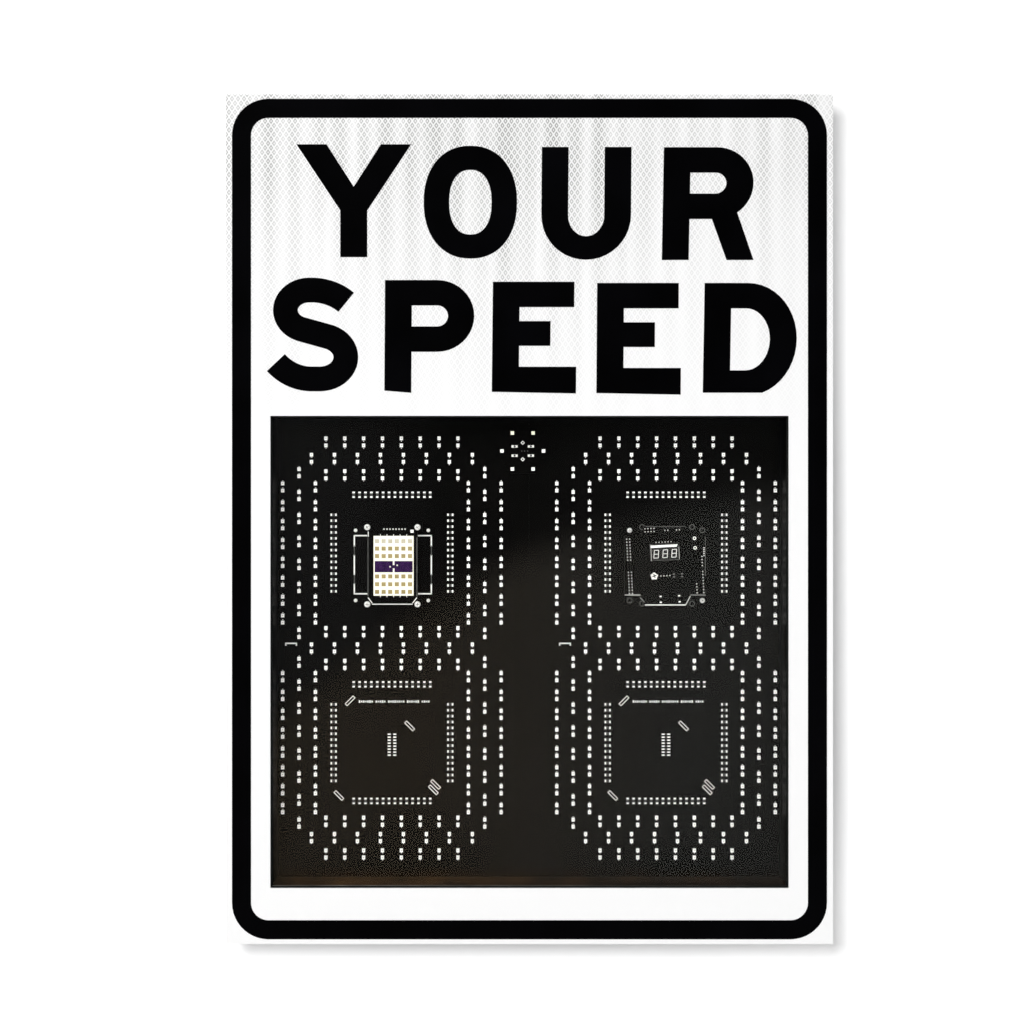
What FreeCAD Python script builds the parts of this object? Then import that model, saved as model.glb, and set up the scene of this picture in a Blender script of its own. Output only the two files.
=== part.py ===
"""Radar speed sign: a reflective sign panel over a display cabinet with two seven-segment LED digits.

Millimetres. X runs to the right of someone who reads the sign, Z runs up and the face looks along -Y.
The origin is the centre of the four mounting slots, on the plane where the rails meet the post.
A level is a distance in front of that plane, so a piece at a level lies at Y = -level.
"""
import FreeCAD
import Part
import Sketcher
import math
import os
import re

Vector = FreeCAD.Vector

SIZES = {
    # Sign panel, sheeting and border
    "panel_thickness": 2,
    "panel_side_margin": 36.5,
    "panel_top_margin": 265,
    "panel_bottom_margin": 46,
    "sheeting_thickness": 0.4,
    "film_thickness": 0.2,
    "border_side_inset": 5,
    "border_end_inset": 3.9,
    "border_stroke": 15.6,
    "border_outer_radius": 30,
    # Window
    "window_side_clearance": 3.2,
    "window_end_clearance": 15.15,
    "gasket_lip": 1.2,
    "gasket_thickness": 1.5,
    "pane_overlap": 12,
    "pane_thickness": 3,
    "shroud_depth": 24,
    "shroud_wall": 2,
    "shroud_flange_thickness": 2,
    # Cabinet
    "cabinet_sheet": 2,
    "cabinet_bend_radius": 2,
    "cabinet_flange_width": 15,
    "cabinet_pane_clearance": 2,
    "tape_width": 12,
    # Rear cover
    "cover_sheet": 2,
    "cover_width": 336,
    "cover_rail_gap": 12,
    "cover_lap": 18,
    "cover_corner_radius": 8,
    "cover_gasket_width": 10,
    "cover_gasket_thickness": 1.5,
    "cover_rib_inset": 34,
    "cover_rib_depth": 4,
    # Mounting rails
    "rail_depth": 24,
    "rail_sheet": 2.5,
    "rail_bend_radius": 2.5,
    "rail_crown": 44,
    "rail_flange": 18,
    "rail_end_margin": 19.5,
    "rail_spacing": 320,
    "slot_spacing": 84,
    "slot_length": 30,
    "slot_width": 9,
    # Cable gland
    "gland_x": 100,
    "gland_thread_radius": 10,
    "gland_thread_reach": 12,
    "gland_hex_flats": 24,
    "gland_hex_height": 6,
    "gland_cap_height": 12,
    "gland_cap_flats": 20,
    "gland_hole_clearance": 0.2,
    # Carrier plate
    "carrier_thickness": 2,
    "carrier_edge_gap": 2,
    "carrier_cutout_width": 50,
    "carrier_cutout_height": 40,
    "carrier_standoff_flats": 10,
    "carrier_standoff_inset": 9.5,
    "carrier_standoff_rise": 150,
    # LED boards
    "board_thickness": 1.6,
    "board_gap": 0.2,
    "board_edge_gap": 1,
    "board_spacer_length": 12,
    "board_spacer_flats": 5.5,
    "board_header_length": 20.3,
    "board_header_width": 8.8,
    "board_header_height": 9,
    "board_header_wall": 1.1,
    "board_header_depth": 6,
    # Module footprint, from the centre of a digit's upper block
    "footprint_drop": 10.5,
    "outer_hole_spacing_x": 61.7,
    "outer_hole_spacing_z": 59.5,
    # Seven-segment digits
    "led_width": 2.6,
    "led_height": 3.1,
    "led_thickness": 1.4,
    "led_pair_pitch": 6,
    "led_line_pitch": 13.9,
    "segment_rise": 160.9,
    "segment_reach": 78.8,
    "digit_spacing": 232.6,
    "edge_gap_across": 8.9,
    "edge_gap_up": 10.55,
    "middle_gap_across": 10.55,
    "middle_gap_up": 12.2,
    # Resistors
    "resistor_width": 2,
    "resistor_length": 5.2,
    "resistor_thickness": 0.6,
    "resistor_pitch": 5,
    "resistor_column_setback": 15.4,
    "resistor_row_setback": 17.05,
    # Strobe cluster
    "strobe_board_radius": 22,
    "strobe_board_thickness": 1.2,
    "strobe_edge_margin": 5.5,
    "strobe_offset": -5.3,
    "strobe_led_radius": 17.6,
    "strobe_led_size": 2.9,
    "strobe_led_thickness": 1.6,
    "strobe_resistor_x": 6.9,
    "strobe_resistor_z": 3.9,
    # Radar module
    "radar_shift": 1,
    "radar_standoff_length": 5,
    "radar_standoff_flats": 5.5,
    "radar_board_thickness": 1.6,
    "radar_board_width": 42.4,
    "radar_ear_width": 7.8,
    "radar_screw_spacing_x": 42.4,
    "radar_screw_spacing_z": 65,
    "radar_antenna_width": 33.8,
    "radar_antenna_height": 50.4,
    "radar_antenna_shift": 1,
    "radar_antenna_thickness": 0.5,
    "radar_can_width": 26,
    "radar_can_height": 32,
    "radar_can_depth": 3,
    "radar_header_length": 20.3,
    "radar_header_width": 2.5,
    "radar_header_depth": 2.5,
    "radar_header_rise": 30.5,
    # Controller module
    "controller_shift": -1.5,
    "controller_skew": 3,
    "controller_width": 68.6,
    "controller_side_height": 50,
    "controller_neck_width": 43,
    "controller_tab_width": 36,
    "controller_height": 67,
    "controller_thickness": 1.6,
    "controller_standoff_length": 6,
    "controller_standoff_flats": 5.5,
    "display_width": 24,
    "display_height": 14,
    "display_thickness": 7,
    "display_shift": -0.4,
    "display_rise": 11.8,
    "pin_pitch": 2.54,
    "header_depth": 2.5,
    "knob_radius": 3.3,
    "knob_groove": 0.8,
    "knob_height": 4,
    # Power supply and terminals
    "supply_width": 99,
    "supply_height": 82,
    "supply_depth": 30,
    "supply_clearance": 6,
    "supply_x": -80,
    "supply_z": 35,
    "supply_ledge_width": 12,
    "supply_ledge_depth": 16,
    "terminal_width": 56,
    "terminal_height": 22,
    "terminal_base_depth": 6,
    "terminal_wall": 1.6,
    "terminal_wall_depth": 8,
    "terminal_x": 80,
    "terminal_z": 35,
}

DERIVED = {
    # Levels of the stack, from the mounting plane forwards
    "cabinet_floor_level": "rail_depth + cabinet_sheet",
    "carrier_standoff_length": "supply_depth + supply_clearance",
    "carrier_level": "cabinet_floor_level + carrier_standoff_length",
    "spacer_level": "carrier_level + carrier_thickness",
    "board_level": "spacer_level + board_spacer_length",
    "board_face_level": "board_level + board_thickness",
    "pane_level": "board_face_level + shroud_depth",
    "gasket_level": "pane_level + pane_thickness",
    "panel_level": "gasket_level + gasket_thickness",
    "sheeting_level": "panel_level + panel_thickness",
    "film_level": "sheeting_level + sheeting_thickness",
    "flange_level": "gasket_level - cabinet_sheet",
    "cover_gasket_level": "rail_depth - cover_gasket_thickness",
    "cover_level": "cover_gasket_level - cover_sheet",
    "radar_level": "board_face_level + radar_standoff_length",
    "radar_face_level": "radar_level + radar_board_thickness",
    "controller_level": "board_face_level + controller_standoff_length",
    "controller_face_level": "controller_level + controller_thickness",
    # The window follows the digits, the panel and the cabinet follow the window
    "digit_half_width": "segment_reach + led_line_pitch + led_width / 2",
    "digit_half_height": "segment_rise + led_line_pitch + (led_pair_pitch + led_height) / 2",
    "window_width": "digit_spacing + 2 * (digit_half_width + window_side_clearance)",
    "window_height": "2 * (digit_half_height + window_end_clearance)",
    "panel_width": "window_width + 2 * panel_side_margin",
    "panel_height": "window_height + panel_top_margin + panel_bottom_margin",
    "panel_centre": "(panel_top_margin - panel_bottom_margin) / 2",
    "pane_width": "window_width + 2 * pane_overlap",
    "pane_height": "window_height + 2 * pane_overlap",
    "cabinet_inner_width": "pane_width + 2 * cabinet_pane_clearance",
    "cabinet_inner_height": "pane_height + 2 * cabinet_pane_clearance",
    "cabinet_width": "cabinet_inner_width + 2 * cabinet_sheet",
    "cabinet_height": "cabinet_inner_height + 2 * cabinet_sheet",
    "flange_width": "cabinet_width + 2 * cabinet_flange_width",
    "flange_height": "cabinet_height + 2 * cabinet_flange_width",
    "border_width": "panel_width - 2 * border_side_inset",
    "border_height": "panel_height - 2 * border_end_inset",
    "board_width": "pane_width / 2 - board_edge_gap - board_gap / 2",
    "board_height": "pane_height - 2 * board_edge_gap",
    "board_x": "(board_width + board_gap) / 2",
    "rail_width": "rail_crown + 2 * rail_flange",
    "rail_length": "cabinet_width - 2 * rail_end_margin",
    "cover_height": "rail_spacing - rail_width - 2 * cover_rail_gap",
    "digit_x": "digit_spacing / 2",
    "block_rise": "segment_rise / 2",
    "module_rise": "block_rise - footprint_drop",
    "radar_x": "radar_shift - digit_x",
    "controller_x": "digit_x + controller_shift",
    "strobe_rise": "window_height / 2 - strobe_edge_margin - strobe_board_radius",
}

# Counts and names of the seven-segment layout
PAIRS_PER_LINE = 8
LINES = (-1, 0, 1)
RESISTORS_PER_ROW = 14
SIDES = {"left": -1, "right": 1}
SEGMENTS = {
    "top": ("across", 0, 1),
    "middle": ("across", 0, 0),
    "bottom": ("across", 0, -1),
    "upper_left": ("up", -1, 0.5),
    "upper_right": ("up", 1, 0.5),
    "lower_left": ("up", -1, -0.5),
    "lower_right": ("up", 1, -0.5),
}

# Pin strips on the back of the controller: columns, rows and a centre in pin pitches
CONTROLLER_STRIPS = (
    (2, 8, -11.85, 6.0),
    (2, 8, -11.85, -5.05),
    (4, 2, -4.6, 12.1),
    (1, 4, 12.3, 0.95),
    (1, 8, 12.3, -6.05),
    (1, 4, 10.1, -8.0),
)
# Standoffs and the trimmer on the controller, in pin pitches from the board's centre
CONTROLLER_STANDOFFS = ((-9.4, 8.2), (8.6, 7.0), (-8.6, -7.8), (7.0, -7.8))
KNOB_PLACE = (-3.95, -3.2)
KNOB_LOBES = 5
TERMINALS_PER_BLOCK = 6

doc = FreeCAD.newDocument("RadarSpeedSign")
pieces = []


# Sheet and bindings


def make_sheet():
    """One row for each size: its name, then the value or formula under an alias of that name."""
    sheet = doc.addObject("Spreadsheet::Sheet", "Sizes")
    cells = {name: str(value) for name, value in SIZES.items()}
    cells.update({name: "=" + formula for name, formula in DERIVED.items()})
    for row, name in enumerate(cells, start=1):
        sheet.setAlias(f"B{row}", name)
    for row, (name, text) in enumerate(cells.items(), start=1):
        sheet.set(f"A{row}", name)
        sheet.set(f"B{row}", text)
    doc.recompute()
    return sheet


sheet = make_sheet()


def size(name):
    """The value of one cell, for shapes that are set directly."""
    return float(sheet.get(name))


def bound(formula):
    """A formula in the sheet's names, written as an expression for another object."""
    named = SIZES.keys() | DERIVED.keys()
    return re.sub(r"[a-z_]+", lambda word: "Sizes." * (word[0] in named) + word[0], str(formula))


# Sketches and features


def keep(piece, label):
    """Name a finished sub-part after its file."""
    piece.Label = label
    pieces.append(piece)
    return piece


def new_body(label):
    return keep(doc.addObject("PartDesign::Body", label), label)


def new_sketch(body, offset, role="XZ_Plane"):
    """A sketch on one of the body's own planes, moved along that plane's normal by a formula."""
    sketch = body.newObject("Sketcher::SketchObject", body.Label + "_sketch")
    plane = next(feature for feature in body.Origin.OriginFeatures if feature.Role == role)
    sketch.AttachmentSupport = [(plane, "")]
    sketch.MapMode = "FlatFace"
    sketch.setExpression(".AttachmentOffset.Base.z", bound(offset))
    return sketch


def hold(sketch, kind, geometry, point, formula):
    """Tie one coordinate of a point to the sheet, measured from the sketch's origin."""
    number = sketch.addConstraint(Sketcher.Constraint(kind, -1, 1, geometry, point, 1.0))
    sketch.setExpression(f"Constraints[{number}]", bound(formula))


def add_outline(sketch, corners):
    """A closed outline of straight edges, each corner given by two formulas."""
    first = sketch.GeometryCount
    count = len(corners)
    turns = [2 * math.pi * number / count for number in range(count + 1)]
    starts = [Vector(math.cos(turn), math.sin(turn), 0) for turn in turns]
    for start, end in zip(starts, starts[1:]):
        sketch.addGeometry(Part.LineSegment(start, end), False)
    for number, (across, up) in enumerate(corners):
        edge = first + number
        following = first + (number + 1) % count
        sketch.addConstraint(Sketcher.Constraint("Coincident", edge, 2, following, 1))
        hold(sketch, "DistanceX", edge, 1, across)
        hold(sketch, "DistanceY", edge, 1, up)


def mirrored(quarter, across, up):
    """An outline from the corners of its upper right quarter, mirrored about a centre."""
    back = list(reversed(quarter))
    turns = (("+", "+", quarter), ("-", "+", back), ("-", "-", quarter), ("+", "-", back))
    return [(f"{across} {sideways} ({reach})", f"{up} {upright} ({rise})")
            for sideways, upright, corners in turns for reach, rise in corners]


def add_rectangle(sketch, width, height, across="0", up="0"):
    left, right = f"({across}) - ({width}) / 2", f"({across}) + ({width}) / 2"
    low, high = f"({up}) - ({height}) / 2", f"({up}) + ({height}) / 2"
    add_outline(sketch, [(left, low), (right, low), (right, high), (left, high)])


def add_circle(sketch, radius, across, up):
    number = sketch.addGeometry(Part.Circle(Vector(1, 1, 0), Vector(0, 0, 1), 1), False)
    hold(sketch, "DistanceX", number, 3, across)
    hold(sketch, "DistanceY", number, 3, up)
    constraint = sketch.addConstraint(Sketcher.Constraint("Radius", number, 1.0))
    sketch.setExpression(f"Constraints[{constraint}]", bound(radius))


def pad(body, sketch, length, symmetric=False):
    """Material from the sketch forwards, or to both sides of it."""
    feature = body.newObject("PartDesign::Pad", body.Label + "_pad")
    feature.Profile = sketch
    feature.setExpression("Length", bound(length))
    feature.SideType = "Symmetric" if symmetric else "One side"
    doc.recompute()
    return feature


def pocket(body, sketch, length):
    """A cut from the sketch, against its normal. It has to take material away."""
    before = body.Shape.Volume
    feature = body.newObject("PartDesign::Pocket", body.Label + "_pocket")
    feature.Profile = sketch
    feature.setExpression("Length", bound(length))
    doc.recompute()
    if body.Shape.Volume >= before:
        raise RuntimeError(f"a pocket in {body.Label} cuts nothing")
    return feature


def fillet(body, base, radius, wanted):
    """Round the straight edges whose middle the test wants."""
    names = [f"Edge{number}" for number, edge in enumerate(base.Shape.Edges, start=1)
             if edge.Curve.TypeId == "Part::GeomLine" and wanted(edge)]
    feature = body.newObject("PartDesign::Fillet", body.Label + "_fillet")
    feature.Base = (base, names)
    feature.setExpression("Radius", bound(radius))
    doc.recompute()
    return feature


def along(edge, axis):
    """Whether a straight edge runs along an axis."""
    return abs(edge.Vertexes[0].Point.sub(edge.Vertexes[-1].Point).normalize().dot(axis)) > 0.999


def near(value, target):
    return abs(value - target) < 0.01


def ring(label, level, thickness, outer, inner, up="0"):
    """A flat frame between two rectangles, each a pair of formulas."""
    body = new_body(label)
    sketch = new_sketch(body, level)
    add_rectangle(sketch, *outer, up=up)
    add_rectangle(sketch, *inner)
    pad(body, sketch, thickness)
    return body


def plate(label, level, thickness, width, height, across="0", up="0"):
    body = new_body(label)
    sketch = new_sketch(body, level)
    add_rectangle(sketch, width, height, across, up)
    pad(body, sketch, thickness)
    return body


# Repeated pieces


def box(width, depth, height):
    """A box that stands on its level and is centred on its place."""
    return Part.makeBox(width, depth, height, Vector(-width / 2, -depth, -height / 2))


def prism(corners, length):
    """A bar that stands on its level, with its outline given by corners across and up."""
    points = [Vector(across, 0, up) for across, up in corners]
    return Part.Face(Part.makePolygon(points + points[:1])).extrude(Vector(0, -length, 0))


def hexagon(flats, length):
    """A hexagonal bar that stands on its level, with flats up and down."""
    radius = flats / math.sqrt(3)
    turns = [math.radians(60 * number) for number in range(6)]
    return prism([(radius * math.cos(turn), radius * math.sin(turn)) for turn in turns], length)


def star(radius, groove, lobes, length):
    """A lobed knob that stands on its level."""
    corners = []
    for number in range(2 * lobes):
        turn = math.pi * number / lobes
        reach = radius - groove * (number % 2)
        corners.append((reach * math.sin(turn), reach * math.cos(turn)))
    return prism(corners, length)


def group(label, seed, level, places):
    """Copies of one solid at places across the face, all on one level, as one sub-part."""
    copies = [seed.translated(Vector(across, -level, up)) for across, up in places]
    feature = doc.addObject("Part::Feature", label)
    feature.Shape = Part.makeCompound(copies)
    feature.Placement = FreeCAD.Placement()
    return keep(feature, label)


def rectangle_places(spacing_x, spacing_z, across=0, up=0):
    return [(across + i * spacing_x / 2, up + j * spacing_z / 2) for i in (-1, 1) for j in (-1, 1)]


# Sign face


def make_face():
    panel = ("panel_width", "panel_height")
    window = ("window_width", "window_height")
    centre = "panel_centre"
    ring("sign_panel", "panel_level", "panel_thickness", panel, window, centre)
    ring("reflective_sheeting", "sheeting_level", "sheeting_thickness", panel, window, centre)
    make_border()
    lip = ("window_width - 2 * gasket_lip", "window_height - 2 * gasket_lip")
    ring("window_gasket", "gasket_level", "gasket_thickness", ("pane_width", "pane_height"), lip)
    plate("window_pane", "pane_level", "pane_thickness", "pane_width", "pane_height")


def make_border():
    """The border film follows the panel's edge, with its two outlines rounded about the same centres."""
    body = new_body("border_film")
    sketch = new_sketch(body, "film_level")
    add_rectangle(sketch, "border_width", "border_height", up="panel_centre")
    inner = ("border_width - 2 * border_stroke", "border_height - 2 * border_stroke")
    add_rectangle(sketch, *inner, up="panel_centre")
    strip = pad(body, sketch, "film_thickness")
    edge_x = size("border_width") / 2
    depth = Vector(0, 1, 0)
    inner_x = edge_x - size("border_stroke")
    inner_z = size("border_height") / 2 - size("border_stroke")

    def at_inner_corner(edge):
        point = edge.CenterOfMass
        return near(abs(point.x), inner_x) and near(abs(point.z - size("panel_centre")), inner_z)

    outside = fillet(body, strip, "border_outer_radius",
                     lambda edge: along(edge, depth) and near(abs(edge.CenterOfMass.x), edge_x))
    fillet(body, outside, "border_outer_radius - border_stroke",
           lambda edge: along(edge, depth) and at_inner_corner(edge))


def make_shroud():
    """A channel round the window: a thin wall with a flange under the pane and one on the boards."""
    body = ring("window_shroud", "board_face_level", "shroud_depth",
                ("window_width + 2 * shroud_wall", "window_height + 2 * shroud_wall"),
                ("window_width", "window_height"))
    for level in ("board_face_level", "pane_level - shroud_flange_thickness"):
        sketch = new_sketch(body, level)
        add_rectangle(sketch, "pane_width", "pane_height")
        add_rectangle(sketch, "window_width", "window_height")
        pad(body, sketch, "shroud_flange_thickness")


# Cabinet


def make_cabinet():
    """A tray folded from one sheet: a back with an access opening, four walls and an outward flange."""
    body = new_body("cabinet")
    back = new_sketch(body, "rail_depth")
    add_rectangle(back, "cabinet_width", "cabinet_height")
    add_rectangle(back, "cover_width - 2 * cover_lap", "cover_height - 2 * cover_lap")
    pad(body, back, "cabinet_sheet")
    walls = new_sketch(body, "cabinet_floor_level")
    add_rectangle(walls, "cabinet_width", "cabinet_height")
    add_rectangle(walls, "cabinet_inner_width", "cabinet_inner_height")
    pad(body, walls, "gasket_level - cabinet_floor_level")
    flange = new_sketch(body, "flange_level")
    add_rectangle(flange, "flange_width", "flange_height")
    add_rectangle(flange, "cabinet_inner_width", "cabinet_inner_height")
    tray = pad(body, flange, "cabinet_sheet")

    outer = (size("cabinet_width") / 2, size("cabinet_height") / 2)
    inner = (size("cabinet_inner_width") / 2, size("cabinet_inner_height") / 2)

    def on_loop(edge, level, half):
        middle = edge.CenterOfMass
        sideways = near(abs(middle.x), half[0]) and near(middle.z, 0)
        endways = near(abs(middle.z), half[1]) and near(middle.x, 0)
        return near(middle.y, -level) and (sideways or endways)

    outside = fillet(body, tray, "cabinet_bend_radius + cabinet_sheet",
                     lambda edge: on_loop(edge, size("rail_depth"), outer)
                     or on_loop(edge, size("gasket_level"), inner))
    fillet(body, outside, "cabinet_bend_radius",
           lambda edge: on_loop(edge, size("cabinet_floor_level"), inner)
           or on_loop(edge, size("flange_level"), outer))

    hole = new_sketch(body, "-cabinet_inner_height / 2", "XY_Plane")
    level = "-(cabinet_floor_level + carrier_standoff_length / 2)"
    add_circle(hole, "gland_thread_radius + gland_hole_clearance", "gland_x", level)
    pocket(body, hole, "cabinet_sheet")

    lap = "cabinet_flange_width - tape_width"
    ring("bonding_tape", "gasket_level", "gasket_thickness",
         (f"flange_width - 2 * ({lap})", f"flange_height - 2 * ({lap})"),
         ("flange_width - 2 * cabinet_flange_width", "flange_height - 2 * cabinet_flange_width"))


def make_cover():
    """A pressed cover: a flat rim with rounded corners and a raised field that stiffens it."""
    body = new_body("rear_cover")
    rim = new_sketch(body, "cover_level")
    add_rectangle(rim, "cover_width", "cover_height")
    flat = pad(body, rim, "cover_sheet")
    depth = Vector(0, 1, 0)
    fillet(body, flat, "cover_corner_radius", lambda edge: along(edge, depth))
    field = new_sketch(body, "cover_level - cover_rib_depth")
    add_rectangle(field, "cover_width - 2 * cover_rib_inset", "cover_height - 2 * cover_rib_inset")
    pad(body, field, "cover_rib_depth")
    hollow = new_sketch(body, "cover_gasket_level")
    inset = "2 * (cover_rib_inset + cover_sheet)"
    add_rectangle(hollow, f"cover_width - {inset}", f"cover_height - {inset}")
    pocket(body, hollow, "cover_rib_depth")

    margin = "cover_lap - cover_gasket_width"
    ring("cover_gasket", "cover_gasket_level", "cover_gasket_thickness",
         (f"cover_width - 2 * ({margin})", f"cover_height - 2 * ({margin})"),
         ("cover_width - 2 * cover_lap", "cover_height - 2 * cover_lap"))


def make_rail(label, side):
    """A hat-section rail with two slots in its crown."""
    body = new_body(label)
    middle = f"{side} * rail_spacing / 2"
    profile = new_sketch(body, "0", "YZ_Plane")
    crown = "rail_crown / 2"
    inside = f"({crown} - rail_sheet)"
    brim = f"({crown} + rail_flange)"
    half = [("0", crown), ("-(rail_depth - rail_sheet)", crown), ("-(rail_depth - rail_sheet)", brim),
            ("-rail_depth", brim), ("-rail_depth", inside), ("-rail_sheet", inside)]
    upper = [(depth, f"{middle} + {up}") for depth, up in half]
    lower = [(depth, f"{middle} - {up}") for depth, up in reversed(half)]
    add_outline(profile, upper + lower)
    bar = pad(body, profile, "rail_length", symmetric=True)

    centre = side * size("rail_spacing") / 2
    crown_half = size("rail_crown") / 2
    inner_half = crown_half - size("rail_sheet")
    depth = size("rail_depth")
    sheet_depth = size("rail_sheet")
    lengthways = Vector(1, 0, 0)

    def at(edge, level, offset):
        point = edge.CenterOfMass
        return along(edge, lengthways) and near(-point.y, level) and near(abs(point.z - centre), offset)

    outside = fillet(body, bar, "rail_bend_radius + rail_sheet",
                     lambda edge: at(edge, 0, crown_half) or at(edge, depth, inner_half))
    fillet(body, outside, "rail_bend_radius",
           lambda edge: at(edge, sheet_depth, inner_half) or at(edge, depth - sheet_depth, crown_half))

    straight = new_sketch(body, "rail_sheet")
    ends = new_sketch(body, "rail_sheet")
    for direction in (-1, 1):
        slot = f"{direction} * slot_spacing / 2"
        run = "slot_length - slot_width"
        add_rectangle(straight, run, "slot_width", slot, middle)
        for end in (-1, 1):
            add_circle(ends, "slot_width / 2", f"{slot} + {end} * ({run}) / 2", middle)
    pocket(body, straight, "rail_sheet")
    pocket(body, ends, "rail_sheet")


def primitive(kind, label, **properties):
    """A Part primitive whose properties are formulas. Its axis runs along Z."""
    solid = doc.addObject(kind, label)
    for name, formula in properties.items():
        path = ".Placement.Base." + name if name in "xyz" else name
        solid.setExpression(path, bound(formula))
    return solid


def make_gland():
    """A plugged cable gland through the cabinet's lower wall."""
    floor = "-cabinet_height / 2"
    place = {"x": "gland_x", "y": "-(cabinet_floor_level + carrier_standoff_length / 2)"}
    foot = f"{floor} - gland_hex_height"
    thread = primitive("Part::Cylinder", "gland_thread", Radius="gland_thread_radius",
                       Height="cabinet_sheet + gland_thread_reach", z=floor, **place)
    collar = primitive("Part::Prism", "gland_collar", Circumradius="gland_hex_flats / sqrt(3)",
                       Height="gland_hex_height", z=foot, **place)
    cap = primitive("Part::Prism", "gland_cap", Circumradius="gland_cap_flats / sqrt(3)",
                    Height="gland_cap_height", z=f"{foot} - gland_cap_height", **place)
    gland = doc.addObject("Part::MultiFuse", "gland_body")
    gland.Shapes = [thread, collar, cap]
    keep(gland, "cable_gland")


# Carrier and boards


def make_carrier():
    body = new_body("carrier_plate")
    sketch = new_sketch(body, "carrier_level")
    gap = "2 * carrier_edge_gap"
    add_rectangle(sketch, f"cabinet_inner_width - {gap}", f"cabinet_inner_height - {gap}")
    for side in SIDES.values():
        across = f"{side} * digit_x"
        add_rectangle(sketch, "carrier_cutout_width", "carrier_cutout_height", across, "-block_rise")
    pad(body, sketch, "carrier_thickness")
    standoff = hexagon(size("carrier_standoff_flats"), size("carrier_standoff_length"))
    spread = size("cabinet_inner_width") - 2 * size("carrier_standoff_inset")
    group("carrier_standoffs", standoff, size("cabinet_floor_level"),
          rectangle_places(spread, 2 * size("carrier_standoff_rise")))


def make_board_header(label, across):
    """A pin header on the back of a board: a base with four walls round its open mouth."""
    body = plate(label, "board_level - board_header_height + board_header_depth",
                 "board_header_height - board_header_depth", "board_header_width", "board_header_length",
                 across, "-block_rise")
    walls = new_sketch(body, "board_level - board_header_height")
    add_rectangle(walls, "board_header_width", "board_header_length", across, "-block_rise")
    add_rectangle(walls, "board_header_width - 2 * board_header_wall",
                  "board_header_length - 2 * board_header_wall", across, "-block_rise")
    pad(body, walls, "board_header_depth")


def make_boards():
    holes = []
    for name, side in SIDES.items():
        board_x = f"{side} * board_x"
        plate(f"{name}_led_board", "board_level", "board_thickness", "board_width", "board_height", board_x)
        make_board_header(f"{name}_board_header", f"{side} * digit_x")
        holes += rectangle_places(size("outer_hole_spacing_x"), size("outer_hole_spacing_z"),
                                  side * size("digit_x"), size("module_rise"))
    spacer = hexagon(size("board_spacer_flats"), size("board_spacer_length"))
    group("board_spacers", spacer, size("spacer_level"), holes)


def segment_places(direction, centre_x, centre_z):
    """The LED centres of one bar: three lines of pairs, every pair one LED above the other."""
    line_pitch = size("led_line_pitch")
    half = size("segment_reach") if direction == "across" else size("block_rise")
    ends = {0: half - size(f"middle_gap_{direction}")}
    ends[1] = ends[-1] = half - line_pitch - size(f"edge_gap_{direction}")
    places = []
    for line in LINES:
        pitch = 2 * ends[line] / (PAIRS_PER_LINE - 1)
        for number in range(PAIRS_PER_LINE):
            run = number * pitch - ends[line]
            shift = line * line_pitch
            across, up = (run, shift) if direction == "across" else (shift, run)
            for step in (-0.5, 0.5):
                places.append((centre_x + across, centre_z + up + step * size("led_pair_pitch")))
    return places


def make_leds():
    seed = box(size("led_width"), size("led_thickness"), size("led_height"))
    for name, side in SIDES.items():
        for segment, (direction, reach, rise) in SEGMENTS.items():
            centre_x = side * size("digit_x") + reach * size("segment_reach")
            places = segment_places(direction, centre_x, rise * size("segment_rise"))
            group(f"{name}_{segment}_leds", seed, size("board_face_level"), places)


def make_resistors():
    """Each bar's resistors stand in one row beside it, on the inner side of its block."""
    thickness = size("resistor_thickness")
    upright = box(size("resistor_width"), thickness, size("resistor_length"))
    lying = box(size("resistor_length"), thickness, size("resistor_width"))
    ring_x = size("segment_reach") - size("led_line_pitch") - size("resistor_column_setback")
    ring_z = size("block_rise") - size("led_line_pitch") - size("resistor_row_setback")
    block = size("block_rise")
    first = -(RESISTORS_PER_ROW - 1) / 2
    steps = [(first + number) * size("resistor_pitch") for number in range(RESISTORS_PER_ROW)]
    level = size("board_face_level")
    for name, side in SIDES.items():
        centre = side * size("digit_x")
        rises = (block + ring_z, ring_z - block, -block - ring_z)
        rows = [(centre + step, up) for up in rises for step in steps]
        columns = [(centre + reach * ring_x, rise * block + step)
                   for reach in (-1, 1) for rise in (-1, 1) for step in steps]
        standing = [upright.translated(Vector(across, -level, up)) for across, up in rows]
        flat = [lying.translated(Vector(across, -level, up)) for across, up in columns]
        feature = doc.addObject("Part::Feature", f"{name}_resistors")
        feature.Shape = Part.makeCompound(standing + flat)
        keep(feature, f"{name}_resistors")


def make_strobe():
    """A six-sided board over the seam between the digits, with an LED near each corner."""
    centre = (size("strobe_offset"), size("strobe_rise"))
    level = size("board_face_level")
    thickness = size("strobe_board_thickness")
    flats = size("strobe_board_radius") * math.sqrt(3)
    group("strobe_board", hexagon(flats, thickness), level, [centre])
    radius = size("strobe_led_radius")
    turns = [math.radians(60 * number) for number in range(6)]
    places = [(centre[0] + radius * math.cos(turn), centre[1] + radius * math.sin(turn)) for turn in turns]
    led = size("strobe_led_size")
    group("strobe_leds", box(led, size("strobe_led_thickness"), led), level + thickness, places)
    resistor = box(size("resistor_length"), size("resistor_thickness"), size("resistor_width"))
    spread = rectangle_places(2 * size("strobe_resistor_x"), 2 * size("strobe_resistor_z"), *centre)
    group("strobe_resistors", resistor, level + thickness, spread)


# Modules on the boards


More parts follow.
